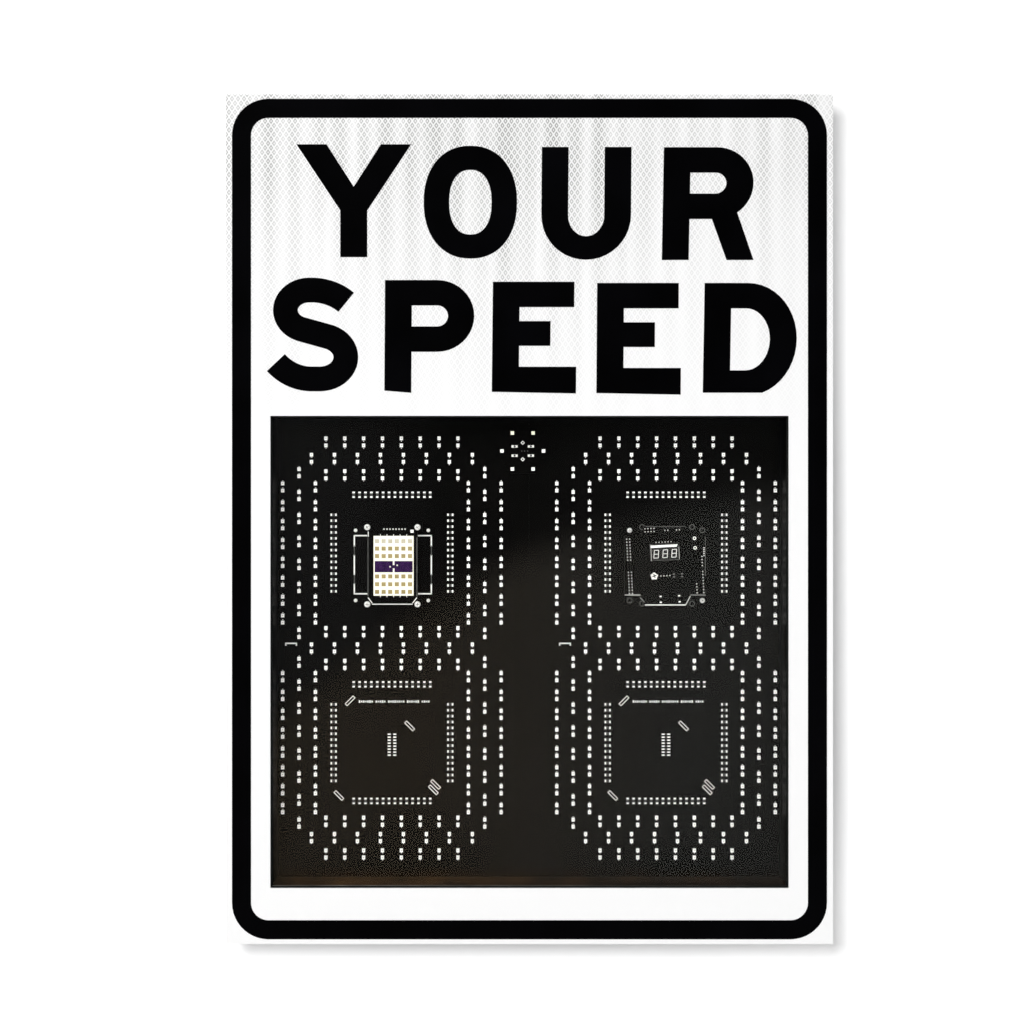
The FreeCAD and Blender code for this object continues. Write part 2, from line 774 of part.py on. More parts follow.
def make_radar():
    across = "radar_x"
    spacing_x, spacing_z = "radar_screw_spacing_x", "radar_screw_spacing_z"
    waist = "radar_board_width / 2"
    ear = f"({spacing_x} + radar_ear_width) / 2"
    inner, outer = f"({spacing_z} - radar_ear_width) / 2", f"({spacing_z} + radar_ear_width) / 2"
    body = new_body("radar_board")
    sketch = new_sketch(body, "radar_level")
    add_outline(sketch, mirrored([(waist, inner), (ear, inner), (ear, outer)], across, "module_rise"))
    pad(body, sketch, "radar_board_thickness")
    plate("radar_antenna", "radar_face_level", "radar_antenna_thickness", "radar_antenna_width",
          "radar_antenna_height", f"{across} + radar_antenna_shift", "module_rise")
    plate("radar_shield_can", "radar_level - radar_can_depth", "radar_can_depth", "radar_can_width",
          "radar_can_height", across, "module_rise")
    plate("radar_header", "radar_level - radar_header_depth", "radar_header_depth", "radar_header_length",
          "radar_header_width", across, "module_rise + radar_header_rise")
    standoff = hexagon(size("radar_standoff_flats"), size("radar_standoff_length"))
    group("radar_standoffs", standoff, size("board_face_level"),
          rectangle_places(size(spacing_x), size(spacing_z), size(across), size("module_rise")))


def on_controller(places):
    """Places of what is mounted on the controller, which sits askew on its board."""
    turn = math.radians(size("controller_skew"))
    centre_x, centre_z = size("controller_x"), size("module_rise")
    return [(centre_x + across * math.cos(turn) - up * math.sin(turn),
             centre_z + across * math.sin(turn) + up * math.cos(turn)) for across, up in places]


def skewed(shape):
    """A seed turned like everything that is mounted on the controller, seen from the front."""
    return shape.rotated(Vector(0, 0, 0), Vector(0, -1, 0), size("controller_skew"))


def controller_outline():
    """Straight sides, and a tab above and below that leaves the screws of the LED board free."""
    side_rise = size("controller_side_height") / 2
    quarter = [(size("controller_width") / 2, side_rise), (size("controller_neck_width") / 2, side_rise),
               (size("controller_tab_width") / 2, size("controller_height") / 2)]
    upper = quarter + [(-across, up) for across, up in reversed(quarter)]
    return upper + [(-across, -up) for across, up in upper]


def make_controller():
    face = size("controller_face_level")
    back = size("controller_level")
    pitch = size("pin_pitch")
    board = prism(controller_outline(), size("controller_thickness"))
    group("controller_board", board, back, on_controller([(0, 0)]))
    strips = []
    depth = size("header_depth")
    for columns, rows, across, up in CONTROLLER_STRIPS:
        strip = skewed(box(columns * pitch, depth, rows * pitch))
        place = on_controller([(across * pitch, up * pitch)])[0]
        strips.append(strip.translated(Vector(place[0], depth - back, place[1])))
    headers = doc.addObject("Part::Feature", "controller_headers")
    headers.Shape = Part.makeCompound(strips)
    keep(headers, "controller_headers")
    standoff = hexagon(size("controller_standoff_flats"), size("controller_standoff_length"))
    feet = [(across * pitch, up * pitch) for across, up in CONTROLLER_STANDOFFS]
    group("controller_standoffs", standoff, size("board_face_level"), on_controller(feet))
    screen = skewed(box(size("display_width"), size("display_thickness"), size("display_height")))
    group("display_module", screen, face, on_controller([(size("display_shift"), size("display_rise"))]))
    knob = star(size("knob_radius"), size("knob_groove"), KNOB_LOBES, size("knob_height"))
    group("trim_knob", knob, face, on_controller([(KNOB_PLACE[0] * pitch, KNOB_PLACE[1] * pitch)]))


# Supply on the back of the carrier


def make_supply():
    """A case with a ledge for its terminals, and a terminal block with walls between its screws."""
    body = plate("power_supply", "carrier_level - supply_depth + supply_ledge_depth",
                 "supply_depth - supply_ledge_depth", "supply_width", "supply_height",
                 "supply_x", "supply_z")
    case = new_sketch(body, "carrier_level - supply_depth")
    add_rectangle(case, "supply_width - supply_ledge_width", "supply_height",
                  "supply_x - supply_ledge_width / 2", "supply_z")
    pad(body, case, "supply_ledge_depth")

    block = plate("terminal_block", "carrier_level - terminal_base_depth", "terminal_base_depth",
                  "terminal_width", "terminal_height", "terminal_x", "terminal_z")
    walls = new_sketch(block, "carrier_level - terminal_base_depth - terminal_wall_depth")
    for number in range(TERMINALS_PER_BLOCK + 1):
        share = number / TERMINALS_PER_BLOCK
        across = f"terminal_x + (terminal_width - terminal_wall) * ({share} - 0.5)"
        add_rectangle(walls, "terminal_wall", "terminal_height", across, "terminal_z")
    pad(block, walls, "terminal_wall_depth")


def check_and_write():
    """Stop on anything that failed to build, then write one file for each sub-part."""
    doc.recompute()
    failed = [item.Name for item in doc.Objects if {"Invalid", "Error"} & set(item.State)]
    broken = [piece.Label for piece in pieces if piece.Shape.isNull() or not piece.Shape.isValid()]
    if failed or broken:
        raise RuntimeError(f"failed objects {failed}, broken shapes {broken}")
    os.makedirs("parts", exist_ok=True)
    for piece in pieces:
        piece.Shape.exportStep(f"parts/{piece.Label}.step")
    print(len(pieces), "sub-parts,", sum(len(piece.Shape.Solids) for piece in pieces), "solids")


make_face()
make_shroud()
make_cabinet()
make_cover()
make_rail("upper_rail", 1)
make_rail("lower_rail", -1)
make_gland()
make_carrier()
make_boards()
make_leds()
make_resistors()
make_strobe()
make_radar()
make_controller()
make_supply()
check_and_write()
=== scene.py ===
"""Looks of the radar speed sign: finishes for its pieces, and the films, print, solder and fasteners on them.

Lengths are millimetres until a mesh is made, in the part's own frame: X runs to the right of someone who
reads the sign, Z runs up and the face looks along -Y. A level is a Y value, so of two levels the lower is
in front, and a thickness is measured forwards from a level. A piece is a list of solids, and each solid is
a stack of loops of points.
"""
import bmesh
import bpy
import math
from mathutils import Matrix, Vector


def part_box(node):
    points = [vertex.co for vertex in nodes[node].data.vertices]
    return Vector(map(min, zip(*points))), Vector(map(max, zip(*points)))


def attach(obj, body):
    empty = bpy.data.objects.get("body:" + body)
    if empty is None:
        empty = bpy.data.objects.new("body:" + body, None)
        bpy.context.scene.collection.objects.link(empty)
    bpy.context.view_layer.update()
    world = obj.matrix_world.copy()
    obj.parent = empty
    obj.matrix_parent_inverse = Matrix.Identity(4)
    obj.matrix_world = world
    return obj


MM = 0.001
BODY = "root"
ARC_STEPS = 10
MERGE_DISTANCE = 1e-6
WAYS = (-1, 1)
SIDES = {"left": -1, "right": 1}
ACROSS_BARS = ("top", "middle", "bottom")
BARS = ACROSS_BARS + ("upper_left", "upper_right", "lower_left", "lower_right")

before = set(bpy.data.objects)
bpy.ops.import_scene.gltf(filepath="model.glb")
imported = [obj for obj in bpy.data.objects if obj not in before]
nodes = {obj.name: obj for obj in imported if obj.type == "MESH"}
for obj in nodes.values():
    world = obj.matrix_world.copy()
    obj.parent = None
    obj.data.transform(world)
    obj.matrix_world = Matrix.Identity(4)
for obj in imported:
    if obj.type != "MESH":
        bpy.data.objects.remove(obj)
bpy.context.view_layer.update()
scene = bpy.context.scene


# Places read from the frame


def low(node):
    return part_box(node)[0] / MM


def high(node):
    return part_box(node)[1] / MM


def middle(node):
    return (low(node) + high(node)) / 2


def solids(node):
    """The lowest corner, the highest corner and the centre of each solid of a node, in a settled order."""
    shape = bmesh.new()
    shape.from_mesh(nodes[node].data)
    bmesh.ops.remove_doubles(shape, verts=shape.verts, dist=MERGE_DISTANCE)
    waiting = set(shape.verts)
    boxes = []
    for seed in shape.verts:
        if seed not in waiting:
            continue
        waiting.remove(seed)
        stack = [seed]
        points = []
        while stack:
            vertex = stack.pop()
            points.append(vertex.co / MM)
            linked = {edge.other_vert(vertex) for edge in vertex.link_edges} & waiting
            waiting -= linked
            stack.extend(linked)
        lowest, highest = [Vector(map(pick, zip(*points))) for pick in (min, max)]
        boxes.append((lowest, highest, (lowest + highest) / 2))
    shape.free()
    return boxes


def places(node):
    return [(centre.x, centre.z) for _, _, centre in solids(node)]


SHEETING_LEVEL = low("reflective_sheeting").y
FILM_LEVEL = low("border_film").y
BOARD_LEVEL = low("left_led_board").y
STROBE_LEVEL = low("strobe_board").y
RADAR_LEVEL = low("radar_board").y
ANTENNA_LEVEL = low("radar_antenna").y
CONTROLLER_LEVEL = low("controller_board").y
DISPLAY_LEVEL = low("display_module").y
DIGIT_X = middle("right_top_leds").x
UPPER_BLOCK = (middle("left_top_leds").z + middle("left_middle_leds").z) / 2
LOWER_BLOCK = (middle("left_bottom_leds").z + middle("left_middle_leds").z) / 2
PANEL_CENTRE = middle("sign_panel").z


# Meshes


SMALL_SIDES = 10
DOME_STEPS = 3
DOME_TIP = math.cos(math.radians(84.6))
PRINT_HEIGHT = 0.04


def new_piece(name, stacks, material, smooth=False):
    """A piece made of solids in millimetres."""
    shape = bmesh.new()
    for loops in stacks:
        add_solid(shape, loops)
    bmesh.ops.recalc_face_normals(shape, faces=shape.faces)
    bmesh.ops.scale(shape, vec=Vector((MM, MM, MM)), verts=shape.verts)
    for face in shape.faces:
        face.smooth = smooth
    mesh = bpy.data.meshes.new(name)
    shape.to_mesh(mesh)
    shape.free()
    add_to_sign(name, mesh, material)


def add_to_sign(name, mesh, material):
    """Every piece rides on the sign's one body."""
    piece = bpy.data.objects.new(name, mesh)
    scene.collection.objects.link(piece)
    mesh.materials.append(material)
    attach(piece, BODY)


def add_solid(shape, loops):
    """Walls between each loop and the next. The ends are closed, unless the last loop is the first again."""
    is_ring = loops[0] == loops[-1]
    made = [[shape.verts.new(point) for point in loop] for loop in (loops[:-1] if is_ring else loops)]
    if is_ring:
        made.append(made[0])
    else:
        shape.faces.new(made[0])
        shape.faces.new(reversed(made[-1]))
    for first, second in zip(made, made[1:]):
        for number in range(len(first)):
            shape.faces.new((first[number - 1], first[number], second[number], second[number - 1]))


def turned(point, degrees, centre=(0, 0)):
    """A point turned anticlockwise about the origin, as a reader sees it, and then moved to a centre."""
    angle = math.radians(degrees)
    across = point[0] * math.cos(angle) - point[1] * math.sin(angle)
    up = point[0] * math.sin(angle) + point[1] * math.cos(angle)
    return (centre[0] + across, centre[1] + up)


def prism(outline, level, thickness):
    """A solid with an outline of (x, z) corners."""
    return [[(x, y, z) for x, z in outline] for y in (level, level - thickness)]


def plate(x, z, width, height, level, thickness, turn=0):
    """A small plate centred on a place, turned in its own plane by an angle in degrees."""
    across, up = width / 2, height / 2
    corners = [(-across, -up), (across, -up), (across, up), (-across, up)]
    return prism([turned(corner, turn, (x, z)) for corner in corners], level, thickness)


def stroke(start, end, width, level):
    """A printed line with square ends."""
    run = Vector(end) - Vector(start)
    turn = math.degrees(math.atan2(run.y, run.x))
    return plate(*(Vector(start) + Vector(end)) / 2, run.length + width, width, level, PRINT_HEIGHT, turn)


def printed(lines, width, level, centre=(0, 0)):
    """Printed lines, measured from a centre."""
    x, z = centre
    return [stroke((x + start[0], z + start[1]), (x + end[0], z + end[1]), width, level)
            for start, end in lines]


def lathed(x, z, profile, sides):
    """A solid turned about an axis along Y, from (radius, level) points."""
    turns = [2 * math.pi * number / sides for number in range(sides)]
    return [[(x + radius * math.cos(turn), level, z + radius * math.sin(turn)) for turn in turns]
            for radius, level in profile]


def disc(x, z, radius, level, thickness, sides):
    return lathed(x, z, ((radius, level), (radius, level - thickness)), sides)


def washer(x, z, inner, outer, level, thickness, sides):
    front = level - thickness
    loops = lathed(x, z, ((outer, level), (outer, front), (inner, front), (inner, level)), sides)
    return loops + loops[:1]


def bead(x, z, radius, height, level, sides=SMALL_SIDES, way=-1):
    """A low dome that bulges forwards from a level, or rearwards with a way of 1."""
    angles = [math.pi / 2 * step / DOME_STEPS for step in range(DOME_STEPS)]
    profile = [(radius * math.cos(angle), level + way * height * math.sin(angle)) for angle in angles]
    return lathed(x, z, profile + [(radius * DOME_TIP, level + way * height)], sides)


# Materials


def new_material(name, roughness=0.5, metallic=0.0, specular=0.5):
    """A material and its shader. Values that are the same all over are set on the shader's own sockets."""
    made = bpy.data.materials.new(name)
    made.use_nodes = True
    shader = made.node_tree.nodes["Principled BSDF"]
    shader.inputs["Roughness"].default_value = roughness
    shader.inputs["Metallic"].default_value = metallic
    shader.inputs["Specular IOR Level"].default_value = specular
    return made, made.node_tree, shader


def bare_material(name):
    """A material without a shader, and its graph."""
    made, graph, shader = new_material(name)
    graph.nodes.remove(shader)
    return made, graph


def add_node(graph, kind, inputs=None, **settings):
    """A node with its settings, and with each input either linked or given a value."""
    node = graph.nodes.new(kind)
    for key, value in settings.items():
        setattr(node, key, value)
    for key, value in (inputs or {}).items():
        if isinstance(value, bpy.types.NodeSocket):
            graph.links.new(value, node.inputs[key])
        else:
            node.inputs[key].default_value = value
    return node


def calc(graph, operation, first, second=0.0, third=0.0, clamp=False):
    inputs = {0: first, 1: second, 2: third}
    return add_node(graph, "ShaderNodeMath", inputs, operation=operation, use_clamp=clamp).outputs[0]


def place_in_mm(graph):
    """The place on the sign, in millimetres."""
    inputs = {0: add_node(graph, "ShaderNodeTexCoord").outputs["Object"], "Scale": 1 / MM}
    return add_node(graph, "ShaderNodeVectorMath", inputs, operation="SCALE").outputs[0]


def stretched(graph, place, scale):
    return add_node(graph, "ShaderNodeVectorMath", {0: place, 1: scale}, operation="MULTIPLY").outputs[0]


def axes(graph, place):
    """The X, Y and Z of a place or a direction."""
    return add_node(graph, "ShaderNodeSeparateXYZ", {0: place}).outputs


def noise(graph, place, size, detail=3.0):
    """Noise with features of about one size, in millimetres."""
    inputs = {"Vector": place, "Scale": 1 / size, "Detail": detail, "Roughness": 0.5}
    return add_node(graph, "ShaderNodeTexNoise", inputs).outputs["Fac"]


def map_range(graph, value, start, end, kind="LINEAR"):
    """0 at the start of a range and before it, and 1 from its end."""
    inputs = {"Value": value, "From Min": start, "From Max": end}
    return add_node(graph, "ShaderNodeMapRange", inputs, interpolation_type=kind).outputs[0]


def ramp(graph, value, stops):
    """Colours or greys at stops along a value."""
    node = add_node(graph, "ShaderNodeValToRGB", {"Fac": value})
    elements = node.color_ramp.elements
    while len(elements) < len(stops):
        elements.new(1.0)
    for element, (position, colour) in zip(elements, stops):
        element.position = position
        element.color = (*colour, 1) if isinstance(colour, tuple) else (colour, colour, colour, 1)
    return node.outputs["Color"]


def mix_colours(graph, share, first, second):
    """A mix of two colours. These are the numbers of the node's sockets for colours."""
    node = add_node(graph, "ShaderNodeMix", data_type="RGBA")
    for socket, value in ((node.inputs[0], share), (node.inputs[6], first), (node.inputs[7], second)):
        if isinstance(value, bpy.types.NodeSocket):
            graph.links.new(value, socket)
        else:
            socket.default_value = (*value, 1)
    return node.outputs[2]


def mix_shaders(graph, share, first, second):
    return add_node(graph, "ShaderNodeMixShader", {0: share, 1: first, 2: second}).outputs[0]


def show(graph, surface, output="Material Output"):
    graph.links.new(surface, graph.nodes[output].inputs["Surface"])


def paint(graph, shader, colour, height, depth):
    """Give a shader its colour, and bump of a depth in millimetres."""
    inputs = {"Height": height, "Distance": depth * MM, "Strength": 1.0}
    graph.links.new(colour, shader.inputs["Base Color"])
    graph.links.new(add_node(graph, "ShaderNodeBump", inputs).outputs[0], shader.inputs["Normal"])


LEVEL_GRAIN = (0.05, 1, 1)
UPRIGHT_GRAIN = (1, 1, 0.05)
GLOSS_SPREAD = 0.08
FINE_GRAIN = 0.4
FINE_DEPTH = 0.01


def mottled(name, colours, size, roughness, metallic=0.0, specular=0.5):
    """A finish with soft blotches between two colours or greys, fine bump and uneven gloss."""
    made, graph, shader = new_material(name, roughness, metallic, specular)
    place = place_in_mm(graph)
    colour = ramp(graph, noise(graph, place, size), ((0.35, colours[0]), (0.65, colours[1])))
    spots = noise(graph, place, size / 3)
    gloss = calc(graph, "MULTIPLY_ADD", spots, 2 * GLOSS_SPREAD, roughness - GLOSS_SPREAD)
    graph.links.new(gloss, shader.inputs["Roughness"])
    paint(graph, shader, colour, noise(graph, place, FINE_GRAIN), FINE_DEPTH)
    return made


DIAMOND_WIDTH = 4.95
DIAMOND_HEIGHT = 7.35
TILE_WIDTH = 19.4
TILE_PHASE = 0.36
TILE_CONTRAST = 0.24
STREAK_WIDTH = 13
STREAK_CONTRAST = 1.7


def diamond_depth(graph, place):
    """How far a point lies inside its diamond cell: 0 on the lattice lines and 0.5 at a cell's centre."""
    x, _, z = axes(graph, place)
    across = calc(graph, "DIVIDE", x, DIAMOND_WIDTH)
    up = calc(graph, "DIVIDE", z, DIAMOND_HEIGHT)
    offsets = []
    for operation in ("ADD", "SUBTRACT"):
        turns = calc(graph, "FRACT", calc(graph, operation, across, up))
        offsets.append(calc(graph, "ABSOLUTE", calc(graph, "SUBTRACT", turns, 0.5)))
    return calc(graph, "SUBTRACT", 0.5, calc(graph, "MAXIMUM", *offsets))


def make_sheeting():
    """White prismatic sheeting: a white net round grey rings, strongest high up and near the middle."""
    made, graph, shader = new_material("white_sheeting", roughness=0.42, specular=0.25)
    place = place_in_mm(graph)
    x, _, z = axes(graph, place)
    rings = ramp(graph, diamond_depth(graph, place),
                 ((0.0, 0.0), (0.13, 0.0), (0.20, 1.0), (0.29, 1.0), (0.38, 0.1), (0.5, 0.0)))
    low_z, high_z = low("reflective_sheeting").z, high("reflective_sheeting").z
    rise = calc(graph, "DIVIDE", calc(graph, "SUBTRACT", z, low_z), high_z - low_z)
    fade = ramp(graph, rise, ((0.58, 0.0), (0.69, 0.2), (0.78, 0.42), (0.86, 0.72), (0.915, 1.0)))
    run = calc(graph, "MULTIPLY_ADD", x, 1 / (2 * high("reflective_sheeting").x), 0.5)
    reach = ramp(graph, run, ((0.0, 0.7), (0.2, 0.66), (0.35, 0.8), (0.53, 1.0), (0.6, 0.8), (0.7, 0.5),
                              (1.0, 0.5)))
    turns = calc(graph, "MULTIPLY_ADD", x, 2 * math.pi / TILE_WIDTH, TILE_PHASE)
    tiles = calc(graph, "MULTIPLY", calc(graph, "COSINE", turns), TILE_CONTRAST)
    streaks = noise(graph, stretched(graph, place, UPRIGHT_GRAIN), STREAK_WIDTH)
    uneven = calc(graph, "MULTIPLY_ADD", streaks, STREAK_CONTRAST, tiles)
    shown = calc(graph, "MULTIPLY", calc(graph, "MULTIPLY", fade, reach), uneven, clamp=True)
    grey = calc(graph, "MULTIPLY", rings, shown, clamp=True)
    plain = mix_colours(graph, shown, (0.95, 0.95, 0.95), (0.82, 0.82, 0.815))
    paint(graph, shader, mix_colours(graph, grey, plain, (0.30, 0.30, 0.295)), rings, 0.02)
    return made


def make_film():
    """Black cut film that lets the sheeting's net show through faintly."""
    made, graph, shader = new_material("black_film", roughness=0.45, specular=0.012)
    place = place_in_mm(graph)
    stops = ((0.35, (0.0004, 0.0004, 0.0006)), (0.7, (0.0012, 0.0012, 0.0018)))
    paint(graph, shader, ramp(graph, noise(graph, place, 60), stops), diamond_depth(graph, place), 0.05)
    return made


PANE_REFLECTION = 0.0075
PANE_EDGE_POWER = 5


def make_pane():
    """A clear, coated pane: each face mirrors a little, and more at a shallow angle."""
    made, graph = bare_material("clear_pane")
    facing = add_node(graph, "ShaderNodeLayerWeight", {"Blend": 0.5}).outputs["Facing"]
    edge = calc(graph, "POWER", facing, PANE_EDGE_POWER)
    share = calc(graph, "MULTIPLY_ADD", edge, 1 - PANE_REFLECTION, PANE_REFLECTION)
    mirror = add_node(graph, "ShaderNodeBsdfGlossy", {"Roughness": 0.03})
    clear = add_node(graph, "ShaderNodeBsdfTransparent", {"Color": (0.985, 0.985, 0.98, 1)})
    show(graph, mix_shaders(graph, share, clear.outputs[0], mirror.outputs[0]))
    return made


PANE_OVERLAP = 12.0
# How high the painted reflection of the ledge reaches on the boards above the window's foot
REFLECTION_RISE = 9.0
# How the ledge's dust and the painted highlight and reflection lie in patches, most of them towards the left
DUST_AND_LIGHT_PATCH = 30
DUST_AND_LIGHT_CONTRAST = 1.6
DUST_AND_LIGHT_OFFSET = -0.3
DUST_AND_LIGHT_AT_RIGHT = 0.2


def dust_and_light_spread(graph, place):
    """How much of the ledge's dust, the painted reflection and the painted highlight lies at a place: in
    patches, and most of it towards the left.
    """
    leftward = map_range(graph, axes(graph, place)["X"], high("window_pane").x, low("window_pane").x)
    patches = calc(graph, "MULTIPLY_ADD", noise(graph, place, DUST_AND_LIGHT_PATCH), DUST_AND_LIGHT_CONTRAST, DUST_AND_LIGHT_OFFSET)
    share = calc(graph, "MULTIPLY_ADD", leftward, 1 - DUST_AND_LIGHT_AT_RIGHT, DUST_AND_LIGHT_AT_RIGHT)
    return calc(graph, "MULTIPLY", share, patches, clamp=True)


def make_board_mask():
    """Black solder mask with soft blotches, and a painted brown reflection of the ledge along the foot of the
    window.
    """
    made, graph, shader = new_material("black_board", roughness=0.38, specular=0.03)
    place = place_in_mm(graph)
    stops = ((0.3, (0.0008, 0.0008, 0.0008)), (0.75, (0.0022, 0.0021, 0.0019)))
    clean = ramp(graph, noise(graph, place, 70), stops)
    foot = low("window_pane").z + PANE_OVERLAP
    near_foot = map_range(graph, axes(graph, place)["Z"], foot + REFLECTION_RISE, foot)
    share = calc(graph, "MULTIPLY", near_foot, dust_and_light_spread(graph, place))
    # Brown near the foot of the window: a painted reflection of the ledge below it
    colour = mix_colours(graph, share, clean, (0.022, 0.010, 0.003))
    paint(graph, shader, colour, noise(graph, place, 1.2, detail=2), 0.006)
    return made


def make_dust_and_highlight(name, colours, dust_and_highlight, roughness, specular):
    """A dark finish with a paler colour on the faces that look up: dust on the ledge, a painted highlight on
    the gasket.
    """
    made, graph, shader = new_material(name, roughness, specular=specular)
    place = place_in_mm(graph)
    clean = ramp(graph, noise(graph, place, 40), ((0.35, colours[0]), (0.65, colours[1])))
    normal = add_node(graph, "ShaderNodeNewGeometry").outputs["Normal"]
    share = calc(graph, "MULTIPLY", axes(graph, normal)["Z"], dust_and_light_spread(graph, place), clamp=True)
    paint(graph, shader, mix_colours(graph, share, clean, dust_and_highlight), noise(graph, place, 2), 0.01)
    return made


BRUSH_WIDTH = 1.2
BRUSH_SHARE = 0.7
BRUSH_GLOSS = 0.25
BRUSH_GLOSS_SHIFT = 0.12
CLOUD_SIZE = 40


def make_brushed(name, colours, roughness, stretch):
    """Rolled or brushed metal with fine streaks along one direction."""
    made, graph, shader = new_material(name, roughness, metallic=1.0)
    place = place_in_mm(graph)
    streaks = noise(graph, stretched(graph, place, stretch), BRUSH_WIDTH, detail=5)
    clouds = calc(graph, "MULTIPLY", noise(graph, place, CLOUD_SIZE), 1 - BRUSH_SHARE)
    mixed = calc(graph, "MULTIPLY_ADD", streaks, BRUSH_SHARE, clouds)
    gloss = calc(graph, "MULTIPLY_ADD", mixed, BRUSH_GLOSS, roughness - BRUSH_GLOSS_SHIFT)
    graph.links.new(gloss, shader.inputs["Roughness"])
    paint(graph, shader, ramp(graph, mixed, ((0.3, colours[0]), (0.7, colours[1]))), streaks, 0.006)
    return made


def make_powder_coat():
    made, graph, shader = new_material("grey_paint", roughness=0.55, specular=0.4)
    place = place_in_mm(graph)
    stops = ((0.3, (0.135, 0.139, 0.144)), (0.7, (0.165, 0.169, 0.174)))
    speckle = noise(graph, place, 0.9, detail=4)
    paint(graph, shader, ramp(graph, noise(graph, place, 90), stops), speckle, 0.05)
    return made


SHEETING = make_sheeting()
FILM = make_film()
PANE = make_pane()
BOARD_MASK = make_board_mask()
POWDER_COAT = make_powder_coat()
MILL_ALUMINIUM = make_brushed("mill_aluminium", ((0.50, 0.51, 0.52), (0.66, 0.67, 0.68)), 0.38, LEVEL_GRAIN)
BARE_ALUMINIUM = make_brushed("bare_aluminium", ((0.56, 0.57, 0.58), (0.70, 0.71, 0.72)), 0.34, UPRIGHT_GRAIN)
# The rubber's paler faces that look up are a painted highlight, such as the bright line along the gasket's
# lower lip
RUBBER = make_dust_and_highlight("black_rubber", (0.003, 0.007), (0.42, 0.40, 0.36), 0.7, 0.1)
GLOSSY_BLACK = make_dust_and_highlight("glossy_black", ((0.0016, 0.0015, 0.0014), (0.0032, 0.0028, 0.0024)),
                          (0.11, 0.058, 0.022), 0.36, 0.06)
# Black so that the seam between the LED boards shows dark: painted shade for that seam
SEAM_SHADE_BLACK = make_brushed("seam_shade_black", (0.008, 0.014), 0.5, LEVEL_GRAIN)
BLACK_NYLON = mottled("black_nylon", (0.010, 0.020), 6, 0.55, specular=0.3)
WHITE_NYLON = mottled("white_nylon", ((0.76, 0.75, 0.71), (0.88, 0.87, 0.83)), 3, 0.5)
PLATED_METAL = mottled("plated_metal", ((0.70, 0.70, 0.68), (0.84, 0.84, 0.81)), 2, 0.32, metallic=1.0)
LED_PLASTIC = mottled("led_plastic", ((0.93, 0.93, 0.91), (0.97, 0.97, 0.96)), 5, 0.35)
LED_DIE = mottled("led_die", ((0.30, 0.29, 0.24), (0.46, 0.44, 0.38)), 30, 0.3)
LED_WARM = mottled("led_warm", ((0.90, 0.91, 0.66), (0.96, 0.96, 0.74)), 4, 0.35)
SOLDER = mottled("solder", ((0.80, 0.80, 0.78), (0.93, 0.93, 0.90)), 1.5, 0.4, metallic=0.3)
# Dull metal for the chip ends, and painted shade in the screws' cross recesses and on the controller's edge
DULL_METAL_AND_SHADE = mottled("dull_metal_and_painted_shade", ((0.14, 0.14, 0.135), (0.22, 0.22, 0.21)), 2, 0.45, specular=0.2)
CHIP_BODY = mottled("chip_body", (0.030, 0.055), 2, 0.45)
# Print, plus the painted highlight on the controller's foot edge and the painted shade in the nylon screws'
# recesses
PRINT_AND_PAINTED_LIGHT = mottled("white_print_and_painted_light", ((0.72, 0.72, 0.70), (0.85, 0.85, 0.83)), 6, 0.6, specular=0.2)
# Aged print, and half shade painted on the controller's edge
AGED_PRINT_AND_SHADE = mottled("aged_print_and_painted_shade", ((0.40, 0.40, 0.38), (0.52, 0.52, 0.50)), 5, 0.6, specular=0.2)
# Faint print, and deep shade painted on the controller's edge
FAINT_PRINT_AND_SHADE = mottled("faint_print_and_painted_shade", ((0.055, 0.055, 0.052), (0.10, 0.10, 0.095)), 5, 0.6, specular=0.2)
ANTENNA = mottled("cream_antenna", ((0.86, 0.82, 0.68), (0.93, 0.91, 0.80)), 9, 0.4, specular=0.3)
PATCH_GOLD = mottled("patch_gold", ((0.26, 0.20, 0.07), (0.36, 0.28, 0.11)), 5, 0.42, specular=0.2)
PATCH_PALE = mottled("patch_pale", ((0.44, 0.40, 0.28), (0.54, 0.50, 0.38)), 5, 0.42, specular=0.2)
PURPLE_MASK = mottled("purple_mask", ((0.016, 0.004, 0.034), (0.034, 0.009, 0.064)), 4, 0.4, specular=0.02)
DISPLAY_FACE = mottled("display_face", (0.006, 0.011), 5, 0.3, specular=0.2)
# Painted shade for empty holes and slots
HOLE_SHADE = mottled("painted_hole_shade", (0.0010, 0.0018), 3, 0.8, specular=0.05)


# Finishes of the frame's own pieces


FINISHES = (
    (BARE_ALUMINIUM, "sign_panel"),
    (SHEETING, "reflective_sheeting"),
    (FILM, "border_film"),
    (PANE, "window_pane"),
    (GLOSSY_BLACK, "window_shroud"),
    (RUBBER, "window_gasket", "bonding_tape", "cover_gasket"),
    (POWDER_COAT, "cabinet", "rear_cover"),
    (MILL_ALUMINIUM, "upper_rail", "lower_rail", "power_supply"),
    # The carrier's black stands in for the shade in the seam between the LED boards
    (SEAM_SHADE_BLACK, "carrier_plate"),
    (BLACK_NYLON, "cable_gland", "terminal_block", "left_board_header", "right_board_header", "radar_header",
     "controller_headers"),
    (PLATED_METAL, "carrier_standoffs", "board_spacers", "radar_standoffs", "controller_standoffs",
     "radar_shield_can"),
    (BOARD_MASK, "left_led_board", "right_led_board", "strobe_board", "radar_board", "controller_board"),
    (CHIP_BODY, "left_resistors", "right_resistors"),
    (WHITE_NYLON, "strobe_resistors", "trim_knob"),
    (LED_PLASTIC, "strobe_leds", *(f"{side}_{bar}_leds" for side in SIDES for bar in BARS)),
    (ANTENNA, "radar_antenna"),
    (DISPLAY_FACE, "display_module"),
)
SOFT_EDGES = {"cable_gland": 0.8, "rear_cover": 0.5, "upper_rail": 0.3, "lower_rail": 0.3, "trim_knob": 0.25,
              "display_module": 0.25, "power_supply": 0.6}


